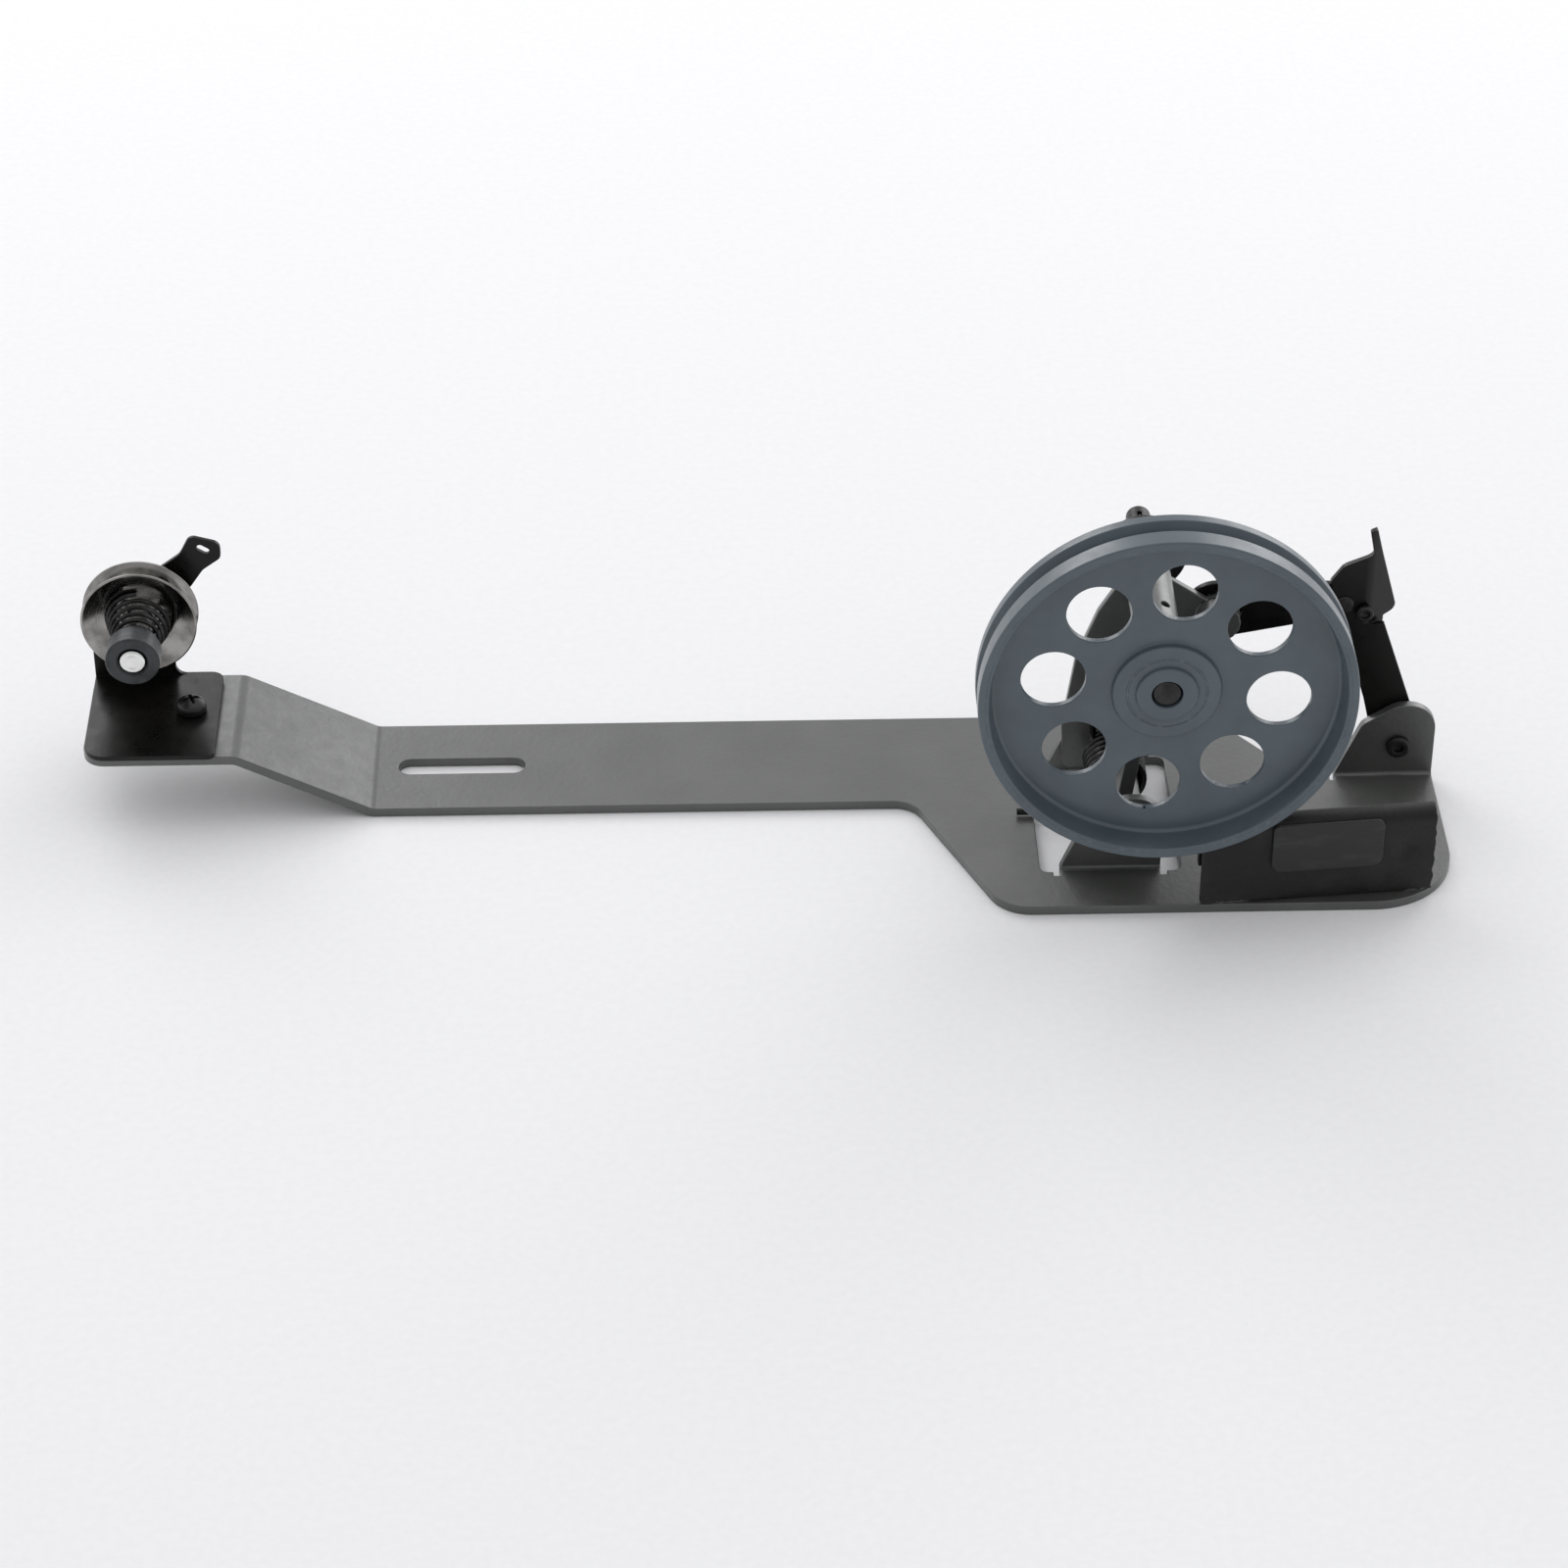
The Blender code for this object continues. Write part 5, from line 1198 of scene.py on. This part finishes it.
@dataclass
class SwingFrame:
    """The swinging frame with its bushes, washer, link pin and return spring."""

    edge: float = 0.3
    wire: float = 1.6
    turns: float = 5.75
    pitch: float = 2.0
    bore: float = 3.2
    coil_radius: float = 6.4
    bend: float = 1.2
    leg_reach: float = 17.1
    hook_rise: float = 15.0
    hook_inset: float = 1.0
    hook_run: float = 3.0
    blend_from: float = 12.0
    blend_to: float = 22.0

    def ring(self, node: str, rounding: float) -> bpy.types.Object:
        """Return a plain ring with rounded edges, its bore clear of the spindle."""
        low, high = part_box(node)
        outer = half_width(node)
        inner = self.bore * MM
        easing = rounding * MM
        corners = [
            (outer, high.y, easing),
            (outer, low.y, easing),
            (inner, low.y, easing),
            (inner, high.y, easing),
        ]
        return turned_piece(node, corners, ring=True)

    def link_pin(self) -> bpy.types.Object:
        """Return the link's pin with its domed head behind."""
        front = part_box("link_pin")[0].y
        corners = domed_head("link_pin", 0.45) + [(RIVET_SHANK, front, 0.3 * MM), (0.0, front)]
        return turned_piece("link_pin", corners)

    def return_spring(self) -> bpy.types.Object:
        """Return the torsion spring: a leg on the plate, the coil, and the hook in the cheek."""
        pin = middle_of("frame_hinge_pin")
        centre = (pin[0], pin[2])
        low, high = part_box("return_spring")
        half = self.wire * MM / 2
        radius = self.coil_radius * MM
        start = low.y + half + self.wire * MM
        span = (start, start + self.pitch * MM * self.turns)
        foot = low.z + half
        front = start - self.wire * MM
        inset = self.hook_inset * MM
        hook_x = centre[0] - radius + inset
        hook_z = centre[1] + self.hook_rise * MM
        leg = [(low.x, front, foot), (centre[0] - self.leg_reach * MM, front, foot)]
        turns = coil(centre, (radius, radius), span, self.turns, math.pi * 1.25)
        tail = [
            (hook_x, span[1], hook_z - self.hook_run * MM),
            (hook_x, span[1] + inset, hook_z),
            (hook_x, high.y, hook_z),
        ]
        path = path_object("return_spring_finished", leg + turns + tail)
        sizes = {"Wire Radius": half, "Bend Radius": self.bend * MM}
        return run_tree(path, wire_tree(SPRING_WIRE), sizes)

    def build(self) -> None:
        """Make the frame and what it carries."""
        finish_piece(refined("swing_frame", self.edge), PLATE_PAINT, Body.FRAME, "swing_frame")
        for node in ("front_bushing", "rear_bushing"):
            finish_piece(self.ring(node, 0.3), BUSH_BRONZE, Body.FRAME, node)
        finish_piece(self.ring("thrust_washer", 0.12), BRIGHT_STEEL, Body.FRAME, "thrust_washer")
        finish_piece(self.link_pin(), OILED_STEEL, Body.FRAME, "link_pin")
        spring = self.return_spring()
        spring.data.shade_smooth()
        finish_piece(spring, SPRING_WIRE, Body.BASE, "return_spring", blended=True)
        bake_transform(spring)


@dataclass
class TripLinkage:
    """The link plate and the trip lever with its rivet and screw."""

    edge: float = 0.2
    spread_height: float = 0.8
    spread_inset: float = 0.6
    screw_radius: float = 1.3
    screw_head: float = 1.3

    def rivet(self) -> bpy.types.Object:
        """Return the lever's rivet with a domed head behind and a spread end in front."""
        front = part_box("lever_rivet")[0].y
        under = front + self.spread_height * MM
        spread = half_width("lever_rivet") - self.spread_inset * MM
        tail = [
            (RIVET_SHANK, under),
            (spread, under, 0.15 * MM),
            (spread * 0.8, front, 0.4 * MM),
            (0.0, front),
        ]
        return turned_piece("lever_rivet", domed_head("lever_rivet", 0.4) + tail)

    def screw(self) -> bpy.types.Object:
        """Return the small socket-headed screw."""
        low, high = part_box("trip_screw")
        head = half_width("trip_screw")
        shank = self.screw_radius * MM
        under = low.y + self.screw_head * MM
        corners = [
            (0.0, high.y),
            (shank, high.y, 0.2 * MM),
            (shank, under),
            (head, under, 0.15 * MM),
            (head, low.y, 0.4 * MM),
            (1.1 * MM, low.y, 0.12 * MM),
            (1.0 * MM, low.y + 0.6 * MM),
            (0.0, low.y + 0.75 * MM),
        ]
        return turned_piece("trip_screw", corners)

    def build(self) -> None:
        """Make the link and the lever."""
        finish_piece(refined("link_plate", self.edge), BLACK_PAINT, Body.LINK, "link_plate")
        finish_piece(refined("trip_lever", self.edge), BLACK_PAINT, Body.LEVER, "trip_lever")
        finish_piece(self.rivet(), OILED_STEEL, Body.LEVER, "lever_rivet")
        finish_piece(self.screw(), OILED_STEEL, Body.LEVER, "trip_screw")


@dataclass
class TensionUnit:
    """The thread tension unit on the arm's raised end, sizes in millimetres."""

    edge: float = 0.15
    disc_flat: float = 5.5
    disc_dish: float = 2.3
    disc_sheet: float = 0.8
    disc_bore: float = 3.3
    disc_rim: float = 0.36
    disc_steps: int = 14
    coil_wire: float = 1.0
    coil_radii: tuple[float, float] = (7.35, 4.5)
    coil_turns: float = 5.0
    disc_travel: float = 1.0
    stud_radius: float = 3.0
    shoulder: float = 4.5
    shoulder_depth: float = 3.5
    tail_play: float = 0.3
    screw_head: float = 3.4
    screw_shank: float = 2.0
    cross: Point = (3.9, 0.85, 2.6)
    cross_turn: int = 20

    def axis(self) -> Point:
        """Return the point of the stud's axis at Y zero."""
        return middle_of("tension_nut")

    def disc(self, node: str, side: int) -> bpy.types.Object:
        """Return a dished disc with a rolled rim.

        Args:
            node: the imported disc.
            side: 1 where the rim flares to the rear, -1 where it flares to the front.

        Returns:
            The disc.
        """
        low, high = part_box(node)
        radius = (high.x - low.x) / 2 / MM
        flat_face = (low.y + self.disc_sheet * MM if side == 1 else high.y) / MM
        upper = [(self.disc_bore, flat_face), (self.disc_flat, flat_face)]
        for step in range(1, self.disc_steps + 1):
            share = step / self.disc_steps
            reach = self.disc_flat + (radius - self.disc_flat) * share
            upper.append((reach, flat_face + side * self.disc_dish * share**1.6))
        lower = [(reach, height - self.disc_sheet) for reach, height in upper]
        corners = [(*point, 0.0) for point in reversed(lower)] + [(*point, 0.0) for point in upper]
        for end in (0, -1):
            corners[end] = (*corners[end][:2], self.disc_rim)
        metres = [tuple(value * MM for value in corner) for corner in corners]
        return smoothed(turned(node + "_finished", Axis.BACK, self.axis(), metres, LARGE_STEPS, ring=True))

    def stud(self) -> bpy.types.Object:
        """Return the stud with its shoulder, riveted tail and faced front end."""
        low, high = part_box("tension_stud")
        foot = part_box("tension_bracket")[1].y + self.tail_play * MM
        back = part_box("thread_guide")[0].y - self.tail_play * MM
        neck = back - self.shoulder_depth * MM
        radius = self.stud_radius * MM
        wide = self.shoulder * MM
        corners = [
            (0.0, high.y),
            (wide * 0.7, high.y, 0.8 * MM),
            (wide, high.y - 0.6 * MM, 0.3 * MM),
            (wide, foot),
            (radius, foot),
            (radius, back),
            (wide, back, 0.2 * MM),
            (wide, neck, 0.3 * MM),
            (radius, neck),
            (radius, low.y, 0.5 * MM),
            (radius * 0.62, low.y, 0.12 * MM),
            (radius * 0.5, low.y + 0.12 * MM, 0.1 * MM),
            (0.0, low.y + 0.1 * MM),
        ]
        return smoothed(turned("tension_stud_finished", Axis.BACK, self.axis(), corners))

    def nut(self) -> bpy.types.Object:
        """Return the round nut with a stepped collar behind."""
        low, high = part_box("tension_nut")
        radius = (high.x - low.x) / 2
        inner = self.disc_bore * MM
        collar = radius - 0.55 * MM
        corners = [
            (collar, high.y, 0.35 * MM),
            (collar, high.y - 1.3 * MM, 0.1 * MM),
            (radius, high.y - 1.5 * MM, 0.25 * MM),
            (radius, low.y, 0.5 * MM),
            (inner + 0.5 * MM, low.y, 0.12 * MM),
            (inner, low.y + 0.5 * MM, 0.12 * MM),
            (inner, high.y, 0.2 * MM),
        ]
        return smoothed(turned("tension_nut_finished", Axis.BACK, self.axis(), corners, ring=True))

    def spring(self) -> bpy.types.Object:
        """Return the conical spring between the front disc and the nut."""
        low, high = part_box("tension_spring")
        x, _, z = self.axis()
        half = self.coil_wire * MM / 2
        radii = (self.coil_radii[0] * MM, self.coil_radii[1] * MM)
        span = (high.y - half, low.y + half)
        points = coil((x, z), radii, span, self.coil_turns, math.pi / 2)
        path = path_object("tension_spring_finished", points)
        return run_tree(path, wire_tree(SPRING_WIRE), {"Wire Radius": half * 0.98, "Bend Radius": 0.0})

    def screw(self) -> bpy.types.Object:
        """Return the pan-head screw with its cross recess."""
        low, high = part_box("bracket_screw")
        x, y = (low.x + high.x) / 2, (low.y + high.y) / 2
        head = (high.x - low.x) / 2
        under = high.z - self.screw_head * MM
        shank = self.screw_shank * MM
        corners = [
            (0.0, high.z),
            (head * 0.45, high.z - 0.05 * MM, 1.2 * MM),
            (head, high.z - 1.3 * MM, 1.4 * MM),
            (head, under, 0.2 * MM),
            (shank, under),
            (shank, low.z, 0.3 * MM),
            (0.0, low.z),
        ]
        screw = turned("bracket_screw_finished", Axis.UP, (x, y, 0.0), corners)
        shape = bmesh.new()
        for turn in (self.cross_turn, self.cross_turn + 90):
            arm = bmesh.ops.create_cube(shape, size=1.0)["verts"]
            size = Matrix.Diagonal((*(value * MM for value in self.cross), 1.0))
            spot = Matrix.Translation((x, y, high.z)) @ Matrix.Rotation(math.radians(turn), 4, "Z")
            bmesh.ops.transform(shape, matrix=spot @ size, verts=arm)
        cross = new_object("cross_recess", mesh_of("cross_recess", shape))
        cut_by(screw, cross, crossing=True)
        bevelled(screw, 0.1, 2, 50)
        return smoothed(settled_without(screw, cross))

    def build(self) -> None:
        """Make the bracket and everything on it."""
        finish_piece(refined("tension_bracket", self.edge), BLACK_PAINT, Body.BASE, "tension_bracket")
        finish_piece(refined("thread_guide", self.edge), BLACK_PAINT, Body.BASE, "thread_guide")
        finish_piece(refined("bracket_nut", 0.3), OILED_STEEL, Body.BASE, "bracket_nut")
        finish_piece(self.screw(), OILED_STEEL, Body.BASE, "bracket_screw")
        finish_piece(self.stud(), STUD_STEEL, Body.BASE, "tension_stud")
        finish_piece(self.disc("rear_tension_disc", 1), TENSION_STEEL, Body.BASE, "rear_tension_disc")
        front_disc = self.disc("front_tension_disc", -1)
        finish_piece(front_disc, TENSION_STEEL, Body.FRONT_DISC, "front_tension_disc")
        spring = self.spring()
        spring.data.shade_smooth()
        finish_piece(spring, SPRING_WIRE, Body.BASE, "tension_spring")
        x, _, z = self.axis()
        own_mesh(spring)
        finish_piece(self.nut(), NUT_STEEL, Body.NUT, "tension_nut")


# ------------------------------------------------------------------ studio


@dataclass
class Studio:
    """The white floor, the soft lights and the camera, sizes in metres, lens in millimetres."""

    floor_size: float = 6.0
    eye: Point = (-0.10633, -0.83669, 0.63184)
    tilt: float = 54.5
    pan: float = -1.5
    lens: float = 105.75
    sensor: float = 36.0
    room_front: float = 0.55
    room_back: float = 0.95
    arm_end: Point = (-0.23, 0.05, 0.02)
    middle: Point = (-0.09, 0.03, 0.02)

    def floor(self) -> None:
        """Lay the paper that the object stands on."""
        shape = bmesh.new()
        bmesh.ops.create_grid(shape, x_segments=1, y_segments=1, size=self.floor_size / 2)
        floor = new_object("studio_floor", mesh_of("studio_floor", shape))
        floor.data.materials.append(SWEEP_PAPER.material())

    def softbox(
        self, name: str, place: Point, target: Point, size: tuple[float, float], power: float
    ) -> None:
        """Hang a soft rectangular light that faces a target.

        Args:
            name: the light's name.
            place: where it hangs.
            target: the point that it faces.
            size: its width and height.
            power: its power in watts.
        """
        data = bpy.data.lights.new(name, "AREA")
        data.shape = "RECTANGLE"
        data.size, data.size_y = size
        data.energy = power
        lamp = new_object(name, data)
        lamp.location = place
        lamp.rotation_euler = (Vector(target) - Vector(place)).to_track_quat("-Z", "Y").to_euler()

    def light(self) -> None:
        """Light the scene from above and behind, with white all round."""
        scene = bpy.context.scene
        world = bpy.data.worlds.new("white_room")
        scene.world = world
        world.use_nodes = True
        tree = world.node_tree
        tree.nodes.clear()
        towards = add_node(tree, "ShaderNodeTexCoord").outputs["Generated"]
        parts = add_node(tree, "ShaderNodeSeparateXYZ", {0: towards})
        # The room is greyer behind the camera and white behind and over the object.
        values = {"Value": parts.outputs["Y"], "From Min": -0.9, "From Max": 0.2}
        values |= {"To Min": self.room_front, "To Max": self.room_back}
        eased_range = add_node(tree, "ShaderNodeMapRange", values, interpolation_type="SMOOTHSTEP")
        values = {"Color": (0.985, 0.985, 1.0, 1.0), "Strength": eased_range.outputs[0]}
        back = add_node(tree, "ShaderNodeBackground", values)
        add_node(tree, "ShaderNodeOutputWorld", {"Surface": back.outputs[0]})
        self.softbox("top_softbox", (-0.1, 0.25, 1.3), self.middle, (1.4, 1.0), 1.0)
        self.softbox("right_softbox", (0.75, 1.1, 0.5), self.middle, (0.8, 0.7), 3.5)
        self.softbox("left_softbox", (-0.75, 1.2, 0.8), self.arm_end, (0.8, 0.7), 4.5)
        scene.view_settings.view_transform = "Standard"

    def camera(self) -> None:
        """Set up the camera."""
        data = bpy.data.cameras.new("studio_camera")
        data.lens = self.lens
        data.sensor_width = self.sensor
        camera = new_object("studio_camera", data)
        camera.location = self.eye
        camera.rotation_euler = Euler((math.radians(self.tilt), 0.0, math.radians(self.pan)))
        bpy.context.scene.camera = camera

    def build(self) -> None:
        """Make the whole studio."""
        self.floor()
        self.light()
        self.camera()


def main() -> None:
    """Build the sub-assemblies and the studio."""
    logging.basicConfig(level=logging.INFO, format="%(message)s")
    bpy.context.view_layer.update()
    winder = (BasePlate(), HeadedPins(), Brake(), SwingFrame(), BeltWheel(), TripLinkage(), TensionUnit())
    for part in winder:
        LOG.info("building %s", type(part).__name__)
        part.build()
    Studio().build()


if __name__ == "__main__":
    main()
